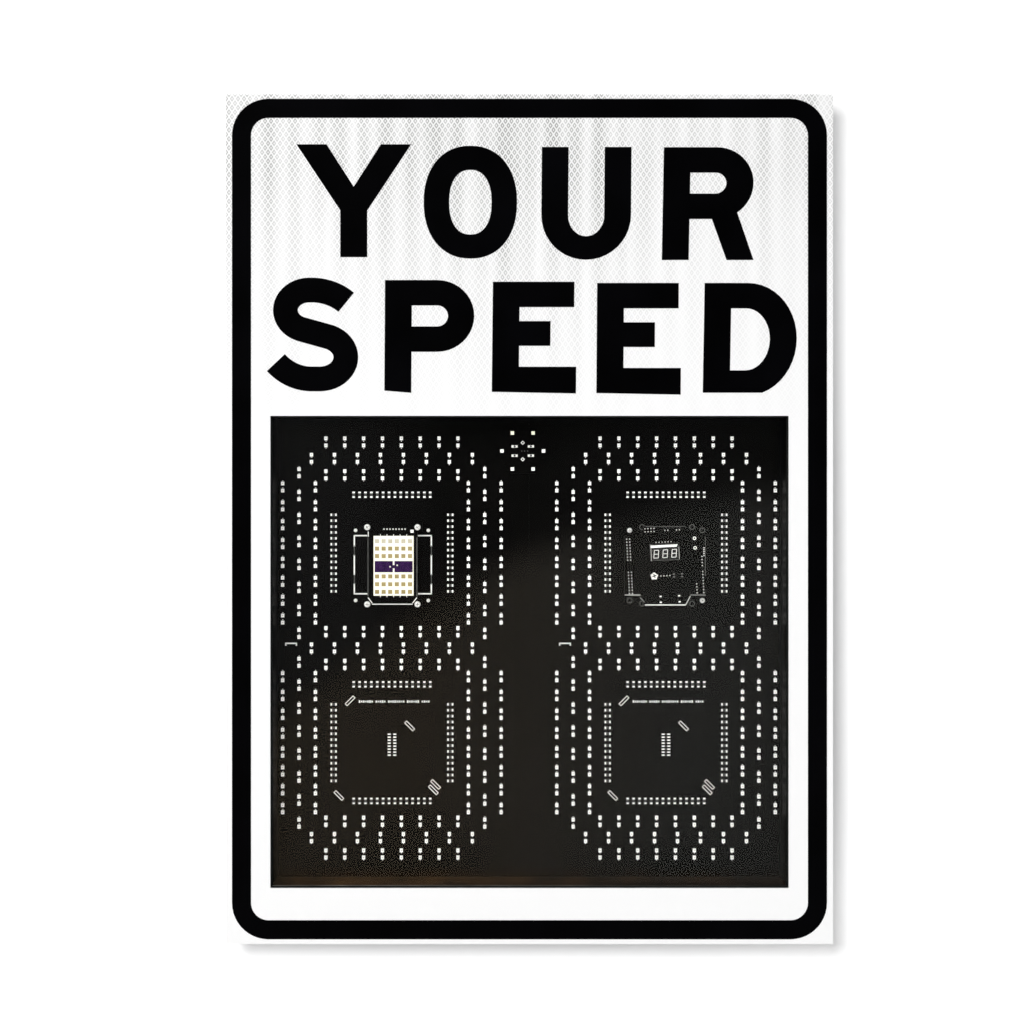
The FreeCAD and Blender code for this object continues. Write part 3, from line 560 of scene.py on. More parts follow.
def dress_frame():
    for material, *dressed in FINISHES:
        for node in dressed:
            slots = nodes[node].data.materials
            slots.clear()
            slots.append(material)
    for node, width in SOFT_EDGES.items():
        bevel = nodes[node].modifiers.new("soft_edges", "BEVEL")
        bevel.width = width * MM
        bevel.segments = 2
        bevel.limit_method = "ANGLE"


# Legend


CAP_HEIGHT = 92.8
STEM = 22.1
ARM = 20.8
BOWL_DEPTH = 59.0
BOWL_REACH = 30.5
COUNTER_RIGHT = 52.1
COUNTER_CORNER = 9.0
LINE_TOPS = {"upper": 308.6, "lower": 197.6}
# Left edge and width of each letter, how far the hand-laid film sits below its line, and its lean
LEGEND = {
    "upper": (("Y", -191.9, 94.3, 0.0, 0.0), ("O", -87.1, 76.8, 1.2, 0.0), ("U", 9.5, 73.8, 2.2, 0.008),
              ("R", 109.0, 75.5, 2.4, 0.019)),
    "lower": (("S", -215.4, 74.3, 0.0, 0.0), ("P", -119.5, 73.6, 0.8, 0.006), ("E", -31.1, 69.3, 2.2, 0.011),
              ("E", 55.1, 69.4, 3.2, 0.007), ("D", 142.7, 76.6, 3.2, 0.0175)),
}


def arc(centre, radii, start, end, steps=2 * ARC_STEPS):
    """Points on an ellipse from one angle to another, in degrees."""
    angles = [math.radians(start + (end - start) * step / steps) for step in range(steps + 1)]
    return [(centre[0] + radii[0] * math.cos(angle), centre[1] + radii[1] * math.sin(angle))
            for angle in angles]


def ribbon(line, width):
    """The outline of a stroke of even width along a line."""
    points = [Vector(point) for point in line]
    sides = ([], [])
    for number, point in enumerate(points):
        run = points[min(number + 1, len(points) - 1)] - points[max(number - 1, 0)]
        across = Vector((-run.y, run.x)).normalized() * width / 2
        sides[0].append(tuple(point + across))
        sides[1].append(tuple(point - across))
    return sides[0] + sides[1][::-1]


def superellipse(centre, radii, power):
    """An oval whose sides grow fuller as its power rises above 2."""
    outline = []
    for point in arc((0, 0), (1, 1), 0, 360, 6 * ARC_STEPS)[:-1]:
        fuller = [math.copysign(abs(value) ** (2 / power), value) for value in point]
        outline.append((centre[0] + radii[0] * fuller[0], centre[1] + radii[1] * fuller[1]))
    return outline


def letter_y(width):
    top, notch, fork = CAP_HEIGHT, 34.9, 54.4
    foot = (width - STEM) / 2
    arm_width = 24.8
    return [[(0, top), (arm_width, top), (width / 2, top - notch), (width - arm_width, top), (width, top),
             (foot + STEM, top - fork), (foot + STEM, 0), (foot, 0), (foot, top - fork)]]


def letter_o(width):
    centre = (width / 2, CAP_HEIGHT / 2)
    inner, outer_power, inner_power = (17.5, 26.7), 2.2, 2.3
    return [superellipse(centre, centre, outer_power), superellipse(centre, inner, inner_power)]


def letter_u(width):
    top, half, arm_width = CAP_HEIGHT, width / 2, 22.0
    base, depth = 19.3, 17.0
    return [[(0, top)] + arc((half, half), (half, half), 180, 360) + [(width, top), (width - arm_width, top)]
            + arc((half, base + depth), (half - arm_width, depth), 0, -180) + [(arm_width, top)]]


def bowl(right, start):
    """The outer curve of a P or R, up from an angle in degrees."""
    return arc((right - BOWL_REACH, CAP_HEIGHT - BOWL_DEPTH / 2), (BOWL_REACH, BOWL_DEPTH / 2), start, 90)


def counter():
    """The counter of a P or R."""
    high_z, low_z = CAP_HEIGHT - ARM, CAP_HEIGHT - BOWL_DEPTH + ARM
    x, radii = COUNTER_RIGHT - COUNTER_CORNER, (COUNTER_CORNER, COUNTER_CORNER)
    return ([(STEM, low_z)] + arc((x, low_z + COUNTER_CORNER), radii, -90, 0, ARC_STEPS)
            + arc((x, high_z - COUNTER_CORNER), radii, 0, 90, ARC_STEPS) + [(STEM, high_z)])


def letter_p(width):
    waist, slant = CAP_HEIGHT - BOWL_DEPTH, 1.8
    return [[(0, slant), (STEM, 0), (STEM, waist)] + bowl(width, -90) + [(0, CAP_HEIGHT)], counter()]


def letter_r(width):
    waist, bowl_right, bowl_start = CAP_HEIGHT - BOWL_DEPTH, width - 1.2, -55
    leg_top, leg_foot = 40.6, 53.3
    return [[(0, 0), (STEM, 0), (STEM, waist), (leg_top, waist), (leg_foot, 0), (width, 0)]
            + bowl(bowl_right, bowl_start) + [(0, CAP_HEIGHT)], counter()]


def letter_s(width):
    """A ribbon along the middle of the stroke: the upper end, both bowls and the lower end."""
    ribbon_width, top, foot = 20.3, 83.8, 10.6
    upper_bowl, lower_bowl = (19.65, 16.6), (21.4, 17.9)
    upper_end, lower_end = (40.1, 34.3), (41.7, 45.9)
    end_x, upper_x, lower_x = 36.0, 34.0, width - ribbon_width / 2 - lower_bowl[0]
    line = arc((end_x, top - upper_end[1]), upper_end, 45, 90)
    line += arc((upper_x, top - upper_bowl[1]), upper_bowl, 90, 255)
    line += arc((lower_x, foot + lower_bowl[1]), lower_bowl, 75, -90)
    line += arc((end_x, foot + lower_end[1]), lower_end, -90, -135)
    return [ribbon(line, ribbon_width)]


def letter_e(width):
    top, tongue_top, tongue_foot = CAP_HEIGHT, CAP_HEIGHT - 32.4, CAP_HEIGHT - 52.7
    tongue, upper_arm, lower_arm = 47.8, width - 2.2, ARM + 2.0
    foot_left, foot_right = 2.2, 0.9
    return [[(0, foot_left), (width, foot_right), (width, lower_arm), (STEM, lower_arm), (STEM, tongue_foot),
             (tongue, tongue_foot), (tongue, tongue_top), (STEM, tongue_top), (STEM, top - ARM),
             (upper_arm, top - ARM), (upper_arm, top), (0, top)]]


def letter_d(width):
    """The film of this letter is trimmed a little at its foot."""
    top, half, right = CAP_HEIGHT, CAP_HEIGHT / 2, 54.5
    outer, inner, trim = 40.8, 20.0, 2.5
    trim_angle = -math.degrees(math.asin(1 - trim / half))
    return [[(0, top), (0, trim)] + arc((width - outer, half), (outer, half), trim_angle, 90),
            [(STEM, top - ARM), (STEM, ARM)] + arc((right - inner, half), (inner, half - ARM), -90, 90)]


LETTERS = {"Y": letter_y, "O": letter_o, "U": letter_u, "R": letter_r, "S": letter_s, "P": letter_p,
           "E": letter_e, "D": letter_d}


def make_legend():
    """Both lines of the sign's plain legend, as cut film on the sheeting."""
    for line, letters in LEGEND.items():
        curve = bpy.data.curves.new(f"legend_{line}_curve", "CURVE")
        curve.dimensions = "2D"
        curve.fill_mode = "BOTH"
        curve.extrude = (SHEETING_LEVEL - FILM_LEVEL) / 2
        for letter, left, width, drop, lean in letters:
            foot = PANEL_CENTRE + LINE_TOPS[line] - drop - CAP_HEIGHT
            for outline in LETTERS[letter](width):
                spline = curve.splines.new("POLY")
                spline.points.add(len(outline) - 1)
                for point, (x, z) in zip(spline.points, outline):
                    point.co = (left + x + lean * z, foot + z, 0, 1)
                spline.use_cyclic_u = True
        flat = bpy.data.objects.new(curve.name, curve)
        mesh = bpy.data.meshes.new_from_object(flat)
        bpy.data.objects.remove(flat)
        mesh.name = f"legend_{line}"
        standing = Matrix.Rotation(math.pi / 2, 4, "X")
        seated = Matrix.Translation((0, (SHEETING_LEVEL + FILM_LEVEL) / 2, 0))
        mesh.transform(Matrix.Scale(MM, 4) @ seated @ standing)
        add_to_sign(f"legend_{line}_line", mesh, FILM)


# LEDs and resistors


LENS_RADIUS = 1.1
LENS_HEIGHT = 0.12
CAP_SKIN = 0.05
DIE_RADIUS = 0.4
DIE_HEIGHT = 0.02
DIE_SIDES = 6
TIP_WIDTH = 0.8
TIP_LENGTH = 0.8
TIP_GAP = 0.4
TIP_HEIGHT = 0.25
END_LENGTH = 1.3
END_SKIN = 0.06


def lenses(boxes):
    return [bead(centre.x, centre.z, LENS_RADIUS, LENS_HEIGHT, lowest.y) for lowest, _, centre in boxes]


def solder_tip(bar, lowest, highest, centre):
    """Solder shows below each LED of the level bars, and above each LED of the upright ones."""
    away, edge = (-1, lowest.z) if bar in ACROSS_BARS else (1, highest.z)
    x, near = centre.x, edge + away * TIP_GAP
    far, half = near + away * TIP_LENGTH, TIP_WIDTH / 2
    return prism([(x - half, near), (x + half, near), (x + half / 3, far), (x - half / 3, far)], BOARD_LEVEL,
                 TIP_HEIGHT)


def make_leds():
    """Each LED gets a low lens, the die that shows in it and the solder tip of its pad."""
    for name in SIDES:
        bars = [(bar, *box) for bar in BARS for box in solids(f"{name}_{bar}_leds")]
        boxes = [box for _, *box in bars]
        dies = [disc(centre.x, centre.z, DIE_RADIUS, lowest.y - LENS_HEIGHT, DIE_HEIGHT, DIE_SIDES)
                for lowest, _, centre in boxes]
        new_piece(f"{name}_led_lenses", lenses(boxes), LED_PLASTIC, smooth=True)
        new_piece(f"{name}_led_dies", dies, LED_DIE)
        new_piece(f"{name}_led_tips", [solder_tip(*bar) for bar in bars], SOLDER)
    strobe = solids("strobe_leds")
    upper = middle("strobe_leds").z + LENS_RADIUS
    caps = [plate(centre.x, centre.z, highest.x - lowest.x, highest.z - lowest.z, lowest.y,
                  LENS_HEIGHT + CAP_SKIN) for lowest, highest, centre in strobe if lowest.z > upper]
    new_piece("strobe_led_lenses", lenses(strobe), LED_PLASTIC, smooth=True)
    new_piece("strobe_warm_caps", caps, LED_WARM)


def resistor_ends(lowest, highest, centre):
    """Tinned caps that wrap both ends of a chip."""
    size = highest - lowest
    if size.x > size.z:
        across, up, width, height = (size.x - END_LENGTH) / 2, 0, END_LENGTH, size.z
    else:
        across, up, width, height = 0, (size.z - END_LENGTH) / 2, size.x, END_LENGTH
    return [plate(centre.x + way * across, centre.z + way * up, width + END_SKIN, height + END_SKIN,
                  highest.y, size.y + END_SKIN) for way in WAYS]


def make_resistor_ends():
    for name in SIDES:
        ends = [end for box in solids(f"{name}_resistors") for end in resistor_ends(*box)]
        new_piece(f"{name}_resistor_ends", ends, SOLDER)


# Print and solder on the LED boards


PRINT_WIDTH = 1.15
THIN_PRINT_WIDTH = 0.7
FOOTPRINT_HALF = 32.7
FOOTPRINT_TOP = 14.8
FOOTPRINT_BOTTOM = -34.6
FOOTPRINT_SHIFT = 0.7
SHOULDER = 10.8
WORN_GAPS = ((6.1, -2.1), (-18.1, -26.6))
# Slots printed round a lower block: centre and turn
SLOT_MARKS = ((-35.6, 35.4, 45), (15.0, 14.1, -45), (-45.1, -45.0, -45), (37.0, -35.6, -45),
              (35.1, -40.2, -45))
SLOT_SIZE = (9.4, 2.3)
SLOT_LINE = 0.68
# Centre, turn, length and width of the bracket printed beside each middle bar
MIDDLE_MARK = (-85.7, 3.05, 0, 9.0, 1.5)
CAPTION_RISE = 34.8
CAPTION_BLOCKS = (7, 5, 8, 6, 4)
CAPTION_PITCH = 1.78
CAPTION_SHIFT = 1.8
CAPTION_WIDTH = 1.2
CAPTION_HEIGHTS = (2.3, 1.4, 1.9, 1.1, 1.7)
DASH_COLUMNS = (-2.35, 2.35)
DASH_SIZE = (2.6, 1.05)
DASH_HEIGHT = 0.3
DASH_ROWS = 8
DASH_DROP = 1.8
PIN_PITCH = 2.54


def spaced(count, pitch=PIN_PITCH):
    """Evenly spaced offsets with their middle at 0."""
    return [(number - (count - 1) / 2) * pitch for number in range(count)]


def footprint_lines():
    """The print on each side of the radar's footprint, from the centre of its block."""
    lines = []
    stops = [FOOTPRINT_TOP] + [stop for gap in WORN_GAPS for stop in gap] + [FOOTPRINT_BOTTOM]
    for side in SIDES.values():
        x = side * FOOTPRINT_HALF
        lines += [((x, upper), (x, lower)) for upper, lower in zip(stops[::2], stops[1::2])]
        lines += [((x, level), (x - side * SHOULDER, level)) for level in (FOOTPRINT_TOP, FOOTPRINT_BOTTOM)]
    return lines


def slot_lines(x, z, turn, length, width):
    """The four sides of a narrow slot. The last is one of its long sides."""
    across, up = length / 2, width / 2
    corners = [(-across, -up), (-across, up), (across, up), (across, -up)]
    points = [turned(corner, turn, (x, z)) for corner in corners]
    return list(zip(points, points[1:] + points[:1]))


def caption_places():
    """Blocks that stand for a line of small print, centred on its middle."""
    found = []
    x = 0
    for count in CAPTION_BLOCKS:
        found += [x + number * CAPTION_PITCH for number in range(count)]
        x = found[-1] + 2 * CAPTION_PITCH
    return [place - found[-1] / 2 for place in found]


def make_board_print():
    for name, side in SIDES.items():
        centre = side * DIGIT_X
        marks = []
        for slot in SLOT_MARKS:
            marks += printed(slot_lines(*slot, *SLOT_SIZE), SLOT_LINE, BOARD_LEVEL, (centre, LOWER_BLOCK))
        bracket = slot_lines(*MIDDLE_MARK)[:-1]
        marks += printed(bracket, PRINT_WIDTH, BOARD_LEVEL, (centre, middle(f"{name}_middle_leds").z))
        for number, x in enumerate(caption_places()):
            height = CAPTION_HEIGHTS[number % len(CAPTION_HEIGHTS)]
            marks.append(plate(centre + CAPTION_SHIFT + x, LOWER_BLOCK + CAPTION_RISE, CAPTION_WIDTH, height,
                               BOARD_LEVEL, PRINT_HEIGHT))
        dashes = [plate(centre + column, LOWER_BLOCK - DASH_DROP + row, *DASH_SIZE, BOARD_LEVEL, DASH_HEIGHT)
                  for column in DASH_COLUMNS for row in spaced(DASH_ROWS)]
        new_piece(f"{name}_board_print", marks, PRINT_AND_PAINTED_LIGHT)
        new_piece(f"{name}_header_joints", dashes, SOLDER)
    block = (FOOTPRINT_SHIFT - DIGIT_X, UPPER_BLOCK)
    worn = [((side * FOOTPRINT_HALF, upper), (side * FOOTPRINT_HALF, lower))
            for side in SIDES.values() for upper, lower in WORN_GAPS]
    new_piece("footprint_print", printed(footprint_lines(), PRINT_WIDTH, BOARD_LEVEL, block), PRINT_AND_PAINTED_LIGHT)
    new_piece("worn_footprint_print", printed(worn, THIN_PRINT_WIDTH, BOARD_LEVEL, block), FAINT_PRINT_AND_SHADE)


# Screws


SCREW_SIDES = 20
# Radius and height of a pan head's profile, as shares of the head's own
SCREW_PROFILE = ((1, 0), (1, 0.35), (0.85, 0.75), (0.55, 1), (0.05, 1))
RECESS_WIDTH = 0.24
RECESS_TURN = 40


def make_screws(name, seats, level, radius, height, material, slot, way=-1, recess=DULL_METAL_AND_SHADE):
    """Pan-head screws, with painted shade where their cross recesses are. They stand forwards of a level, or
    rearwards with a way of 1.
    """
    profile = [(radius * share, level + way * height * rise) for share, rise in SCREW_PROFILE]
    heads = [lathed(x, z, profile, SCREW_SIDES) for x, z in seats]
    # Thin plates in a darker finish stand for the cross recesses: painted shade
    recesses = [plate(x, z, radius, radius * RECESS_WIDTH, level + way * height, -way * PRINT_HEIGHT,
                      RECESS_TURN * number + turn) for number, (x, z) in enumerate(seats) for turn in (0, 90)]
    new_piece(name + "s", heads, material)
    new_piece(name + "_recess_shade", recesses, recess)


# Radar module


PATCH_FIRST = 3.0
PATCH_PITCH = 5.55
PATCH_COLUMNS = 6
PATCH_DROPS = (4.5, 10.7, 17.0, 34.2, 40.8, 47.2)
PATCH_SIZE = (3.5, 3.4)
COPPER_HEIGHT = 0.03
# Plates of the antenna's dark ground: left and right edge, and top and bottom below the antenna's top
GROUND_PLATES = ((1.0, 16.3, 21.2, 30.7), (17.7, 33.0, 21.2, 30.7), (16.3, 17.7, 24.6, 27.4))
GROUND_DOTS = ((14.0, 26.0), (20.0, 24.8))
GROUND_DOT = (0.75, 0.2)
VIA_COUNT = 5
VIA_INSET = 0.5
VIA = (0.45, 0.15)
RADAR_PINS = 8
RADAR_PIN = (0.75, 0.5)
RADAR_PIN_SHIFT = 0.8
RADAR_PIN_RISE = 20.4
EDGE_TAB = (0.6, 1.4)
EDGE_TAB_HEIGHT = 0.1
LAMP_PLACE = (15.6, 18.6)
LAMP_SIZE = 2.5
LAMP_HEIGHT = 0.9
# Lines on the radar's board, from the centre of its block
RADAR_PRINT = (((-16.8, -42.9), (16.8, -42.9)), ((-20.4, -37.6), (-17.2, -41.8)),
               ((20.4, -37.6), (17.2, -41.8)), ((-20.4, 18.0), (-20.4, 14.4)))
RADAR_EDGES = (((-20.6, 13.0), (-20.6, -36.0)), ((20.6, 13.0), (20.6, -36.0)))
RADAR_SCREW = (2.6, 2.0)


def make_antenna_patches():
    """The top row of patches is paler than the rest."""
    left, top = low("radar_antenna").x, high("radar_antenna").z
    rows = [[plate(left + PATCH_FIRST + column * PATCH_PITCH, top - drop, *PATCH_SIZE, ANTENNA_LEVEL,
                   COPPER_HEIGHT) for column in range(PATCH_COLUMNS)] for drop in PATCH_DROPS]
    others = [patch for row in rows[1:] for patch in row]
    new_piece("pale_antenna_patches", rows[0], PATCH_PALE)
    new_piece("antenna_patches", others, PATCH_GOLD)


def make_radar_print():
    block = (middle("radar_board").x, UPPER_BLOCK)
    for name, lines, material in (("radar_print", RADAR_PRINT, PRINT_AND_PAINTED_LIGHT),
                                  ("faint_radar_print", RADAR_EDGES, FAINT_PRINT_AND_SHADE)):
        new_piece(name, printed(lines, THIN_PRINT_WIDTH, RADAR_LEVEL, block), material)


def make_antenna_ground():
    left, right, top = low("radar_antenna").x, high("radar_antenna").x, high("radar_antenna").z
    ground = [plate(left + (start + end) / 2, top - (upper + lower) / 2, end - start, lower - upper,
                    ANTENNA_LEVEL, COPPER_HEIGHT) for start, end, upper, lower in GROUND_PLATES]
    upper, lower = GROUND_PLATES[0][2:]
    dots = [bead(x, top - upper - (lower - upper) * number / (VIA_COUNT - 1), *VIA, ANTENNA_LEVEL)
            for number in range(VIA_COUNT) for x in (left + VIA_INSET, right - VIA_INSET)]
    dots += [bead(left + x, top - drop, *GROUND_DOT, ANTENNA_LEVEL - COPPER_HEIGHT)
             for x, drop in GROUND_DOTS]
    new_piece("antenna_ground", ground, PURPLE_MASK)
    new_piece("antenna_dots", dots, ANTENNA, smooth=True)


def make_radar_joints():
    """The solder and the screws on the radar's board, and its small lamp."""
    antenna, level = middle("radar_antenna"), RADAR_LEVEL
    joints = [bead(antenna.x + RADAR_PIN_SHIFT + x, UPPER_BLOCK + RADAR_PIN_RISE, *RADAR_PIN, level)
              for x in spaced(RADAR_PINS)]
    tabs = [low("radar_antenna").x + PATCH_FIRST + (column + 0.5) * PATCH_PITCH
            for column in range(PATCH_COLUMNS - 1)]
    edges = (high("radar_antenna").z + EDGE_TAB[1] / 2, low("radar_antenna").z - EDGE_TAB[1] / 2)
    joints += [plate(x, z, *EDGE_TAB, level, EDGE_TAB_HEIGHT) for x in tabs for z in edges]
    lamp = plate(antenna.x + LAMP_PLACE[0], UPPER_BLOCK + LAMP_PLACE[1], LAMP_SIZE, LAMP_SIZE, level,
                 LAMP_HEIGHT)
    new_piece("radar_joints", joints, SOLDER, smooth=True)
    new_piece("radar_lamp", [lamp], LED_PLASTIC)
    make_screws("radar_screw", places("radar_standoffs"), level, *RADAR_SCREW, SOLDER, "plated_metal")


# Controller module


CONTROLLER_SKEW = 3.0
JOINT = (0.55, 0.6)
HEADER_MARGIN = 0.2
# What is mounted on the controller is measured from its centre, before it is turned by the skew
PIN_PAIRS = ((1.2, 29.85), (3.74, 29.85), (11.0, 29.7), (13.5, 29.7))
PIN_ROWS = ((6, -6.75, 20.05), (4, -4.14, -8.4))
CAN_RINGS = ((25.8, 21.9), (25.85, 13.8))
CAN_RADII = (0.75, 1.45)
CAN_HEIGHT = 0.5
CHIPS = ((6.8, -8.5), (13.7, -8.6))
CHIP_END_RISE = 1.2
CHIP_END_SIZE = (1.5, 1.1)
CHIP_HEIGHT = 0.5
CONTROLLER_PADS = ((-5.3, -25.6), (10.3, -25.8), (-5.4, -30.5), (10.5, -30.9))
PAD_SIZE = (1.8, 1.2)
PAD_HEIGHT = 0.4
KNOB_SLOT = (3.4, 0.8)
KNOB_TURNS = (20, 110)
EDGE_WIDTH = 0.9
# The controller's pale cut edge, with a painted highlight at its foot and painted shade at its top and sides
# Lines along the controller's own level edge, from its centre: width, finish, and both ends of each line
CONTROLLER_EDGE_SHADING = {
    "controller_foot_highlight": (EDGE_WIDTH, PRINT_AND_PAINTED_LIGHT, ((-16.8, -33.0), (16.8, -33.0))),
    "controller_edge_half_shade": (EDGE_WIDTH, AGED_PRINT_AND_SHADE, ((-33.6, -24.6), (-21.4, -24.6)),
                         ((20.9, -26.0), (17.5, -32.4))),
    "controller_edge_shade": (EDGE_WIDTH, DULL_METAL_AND_SHADE, ((21.4, -24.6), (33.6, -24.6)),
                              ((-21.0, -27.0), (-17.8, -30.3))),
    "controller_edge_deep_shade": (THIN_PRINT_WIDTH, FAINT_PRINT_AND_SHADE, ((-16.2, 33.0), (17.3, 33.0)),
                               ((33.8, 24.0), (33.8, -8.4))),
}
EDGE_DASH_X = 32.6
EDGE_DASH_RISES = (15.2, 13.55, 11.9, 10.25, 8.6)
EDGE_DASH_SIZE = (1.0, 0.8)
# The small display, from the centre of its face
DIGIT_COUNT = 3
DIGIT_PITCH = 7.48
DIGIT_SIZE = (3.7, 6.5)
DIGIT_SLANT = 0.12
DIGIT_STROKE = 0.58
DIGIT_DROP = 1.35
DIGIT_TRIM = 0.08
# Ends of a digit's seven bars, as corners counted up its left side and then up its right side
DIGIT_BARS = ((0, 1), (1, 2), (3, 4), (4, 5), (0, 3), (1, 4), (2, 5))
BAND_OUTLINE = ((-11.9, 4.05), (9.9, 4.05), (10.9, 6.05), (-11.9, 6.05))
BAND_HEIGHT = 0.1
DISPLAY_FRAME = (((-11.7, 6.7), (-11.7, -6.6)), ((11.7, 3.8), (11.7, -6.4)))
DISPLAY_FOOT = (((-10.6, -6.7), (11.0, -6.7)),)
DISPLAY_LINE = 0.45


def skewed(point, centre):
    """A place measured along the controller's skewed rows, from the centre of something on it."""
    return turned(point, CONTROLLER_SKEW, (centre.x, centre.z))


def joint_places(board):
    """The solder joints of the strips behind the controller and of the pins beside them."""
    found = [skewed(pair, board) for pair in PIN_PAIRS]
    for count, x, z in PIN_ROWS:
        found += [skewed((x + number * PIN_PITCH, z), board) for number in range(count)]
    for lowest, highest, centre in solids("controller_headers"):
        columns, _, rows = [round(length / PIN_PITCH - HEADER_MARGIN) for length in highest - lowest]
        found += [skewed((x, z), centre) for x in spaced(columns) for z in spaced(rows)]
    return found


def make_controller():
    board, knob, level = middle("controller_board"), middle("trim_knob"), CONTROLLER_LEVEL
    # Edge lines with a painted highlight at the board's foot and painted shade at its top and sides
    for name, (width, material, *lines) in CONTROLLER_EDGE_SHADING.items():
        new_piece(name, printed(lines, width, level, (board.x, board.z)), material)
    dashes = [plate(board.x + EDGE_DASH_X, board.z + rise, *EDGE_DASH_SIZE, level, PRINT_HEIGHT)
              for rise in EDGE_DASH_RISES]
    pads = [plate(*skewed(place, board), *PAD_SIZE, level, PAD_HEIGHT, CONTROLLER_SKEW)
            for place in CONTROLLER_PADS]
    joints = [bead(x, z, *JOINT, level) for x, z in joint_places(board)]
    cans = [washer(*skewed(place, board), *CAN_RADII, level, CAN_HEIGHT, SCREW_SIDES) for place in CAN_RINGS]
    chip_ends = [plate(*skewed((x, z + way * CHIP_END_RISE), board), *CHIP_END_SIZE, level, CHIP_HEIGHT,
                       CONTROLLER_SKEW) for x, z in CHIPS for way in WAYS]
    # Painted shade in the knob's two slots
    slots = [plate(knob.x, knob.z, *KNOB_SLOT, low("trim_knob").y, PRINT_HEIGHT, turn) for turn in KNOB_TURNS]
    new_piece("controller_dashes", dashes, PRINT_AND_PAINTED_LIGHT)
    new_piece("controller_pads", pads, SOLDER)
    new_piece("controller_joints", joints, SOLDER, smooth=True)
    new_piece("controller_rings", cans, SOLDER)
    new_piece("controller_chip_ends", chip_ends, DULL_METAL_AND_SHADE)
    new_piece("knob_slot_shades", slots, HOLE_SHADE)


def digit_bars(centre):
    """The bars of one slanted digit, as lines trimmed at both ends."""
    width, height = DIGIT_SIZE
    corners = [Vector((centre + across * width / 2 + DIGIT_SLANT * up * height / 2,
                       up * height / 2 - DIGIT_DROP)) for across in WAYS for up in (-1, 0, 1)]
    return [[corners[first].lerp(corners[second], share) for share in (DIGIT_TRIM, 1 - DIGIT_TRIM)]
            for first, second in DIGIT_BARS]


def display_lines(lines, width):
    """Lines printed on the face of the small display."""
    face = middle("display_module")
    return printed([[skewed(end, face) for end in line] for line in lines], width, DISPLAY_LEVEL)


def make_display():
    """Three slanted digits of bars under a pale band, in a thin frame."""
    face = middle("display_module")
    digits = [bar for x in spaced(DIGIT_COUNT, DIGIT_PITCH) for bar in digit_bars(x)]
    band = prism([skewed(corner, face) for corner in BAND_OUTLINE], DISPLAY_LEVEL, BAND_HEIGHT)
    for name, stacks, material in (
            ("display_digits", display_lines(digits, DIGIT_STROKE), PRINT_AND_PAINTED_LIGHT),
            ("display_band", [band], LED_PLASTIC),
            ("display_frame", display_lines(DISPLAY_FRAME, DISPLAY_LINE), AGED_PRINT_AND_SHADE),
            ("display_foot", display_lines(DISPLAY_FOOT, DISPLAY_LINE), FAINT_PRINT_AND_SHADE)):
        new_piece(name, stacks, material)


# Screws and holes of the LED boards


HOLE_RADIUS = 1.7
HOLE_HEIGHT = 0.02
RIM_RADIUS = 2.5
RIM_HEIGHT = 0.03
LEFT_SCREW = (1.55, 1.4)
RIGHT_SCREW = (2.15, 1.8)


def make_board_fasteners():
    """Screws into the spacers, and painted shade in the empty holes of the right board's module footprint."""
    spacers = places("board_spacers")
    left = [place for place in spacers if place[0] < 0]
    right = [place for place in spacers if place[0] > 0]
    module = sum(z for _, z in right) / len(right)
    held = [(x, z) for x, z in right if (x < DIGIT_X) == (z > module)]
    empty = [place for place in right if place not in held]
    empty += [(x + 2 * DIGIT_X, z) for x, z in places("radar_standoffs")]
    # Dark discs paint the shade in the empty holes
    holes = [disc(x, z, HOLE_RADIUS, BOARD_LEVEL, HOLE_HEIGHT, SCREW_SIDES) for x, z in empty]
    rims = [washer(x, z, HOLE_RADIUS, RIM_RADIUS, BOARD_LEVEL, RIM_HEIGHT, SCREW_SIDES) for x, z in empty]
    # The nylon screws' cross recesses are painted shade in the pale print finish
    make_screws("left_board_screw", left, BOARD_LEVEL, *LEFT_SCREW, WHITE_NYLON, "white_nylon", recess=PRINT_AND_PAINTED_LIGHT)
    make_screws("right_board_screw", held, BOARD_LEVEL, *RIGHT_SCREW, SOLDER, "plated_metal")
    new_piece("right_board_hole_shades", holes, HOLE_SHADE)
    new_piece("right_board_rims", rims, FAINT_PRINT_AND_SHADE)


# Strobe board


STROBE_RING_RISE = 7.0
STROBE_RING_RADII = (0.95, 1.8)
STROBE_RING_HEIGHT = 0.4
DIAMOND_SIDES = 4
STROBE_MARKS = (-0.8, 1.6, 4.2)
STROBE_MARK = (0.55, 0.2)
RESISTOR_MARK_RADIUS = 0.95


def make_strobe():
    centre, front = middle("strobe_board"), low("strobe_resistors").y
    rings = [washer(centre.x, centre.z + way * STROBE_RING_RISE, *STROBE_RING_RADII, STROBE_LEVEL,
                    STROBE_RING_HEIGHT, DIAMOND_SIDES) for way in WAYS]
    marks = [bead(centre.x + x, centre.z, *STROBE_MARK, STROBE_LEVEL) for x in STROBE_MARKS]
    middles = [disc(x, z, RESISTOR_MARK_RADIUS, front, PRINT_HEIGHT, SMALL_SIDES)
               for x, z in places("strobe_resistors")]
    new_piece("strobe_rings", rings, PRINT_AND_PAINTED_LIGHT)
    new_piece("strobe_marks", marks, FAINT_PRINT_AND_SHADE, smooth=True)
    new_piece("strobe_resistor_marks", middles, CHIP_BODY)


# Fasteners behind the sign


RIVET = (4.0, 1.8)
RIVET_STATIONS = (-0.43, -0.15, 0.15, 0.43)
RIVET_INSET = 8.5
RAIL_SHEET = 2.5
COVER_SCREW = (3.8, 2.4)
COVER_SCREW_INSET = 9.0
COVER_COLUMNS = 4
COVER_ROWS = 3
COVER_RIM_DEPTH = 3.5


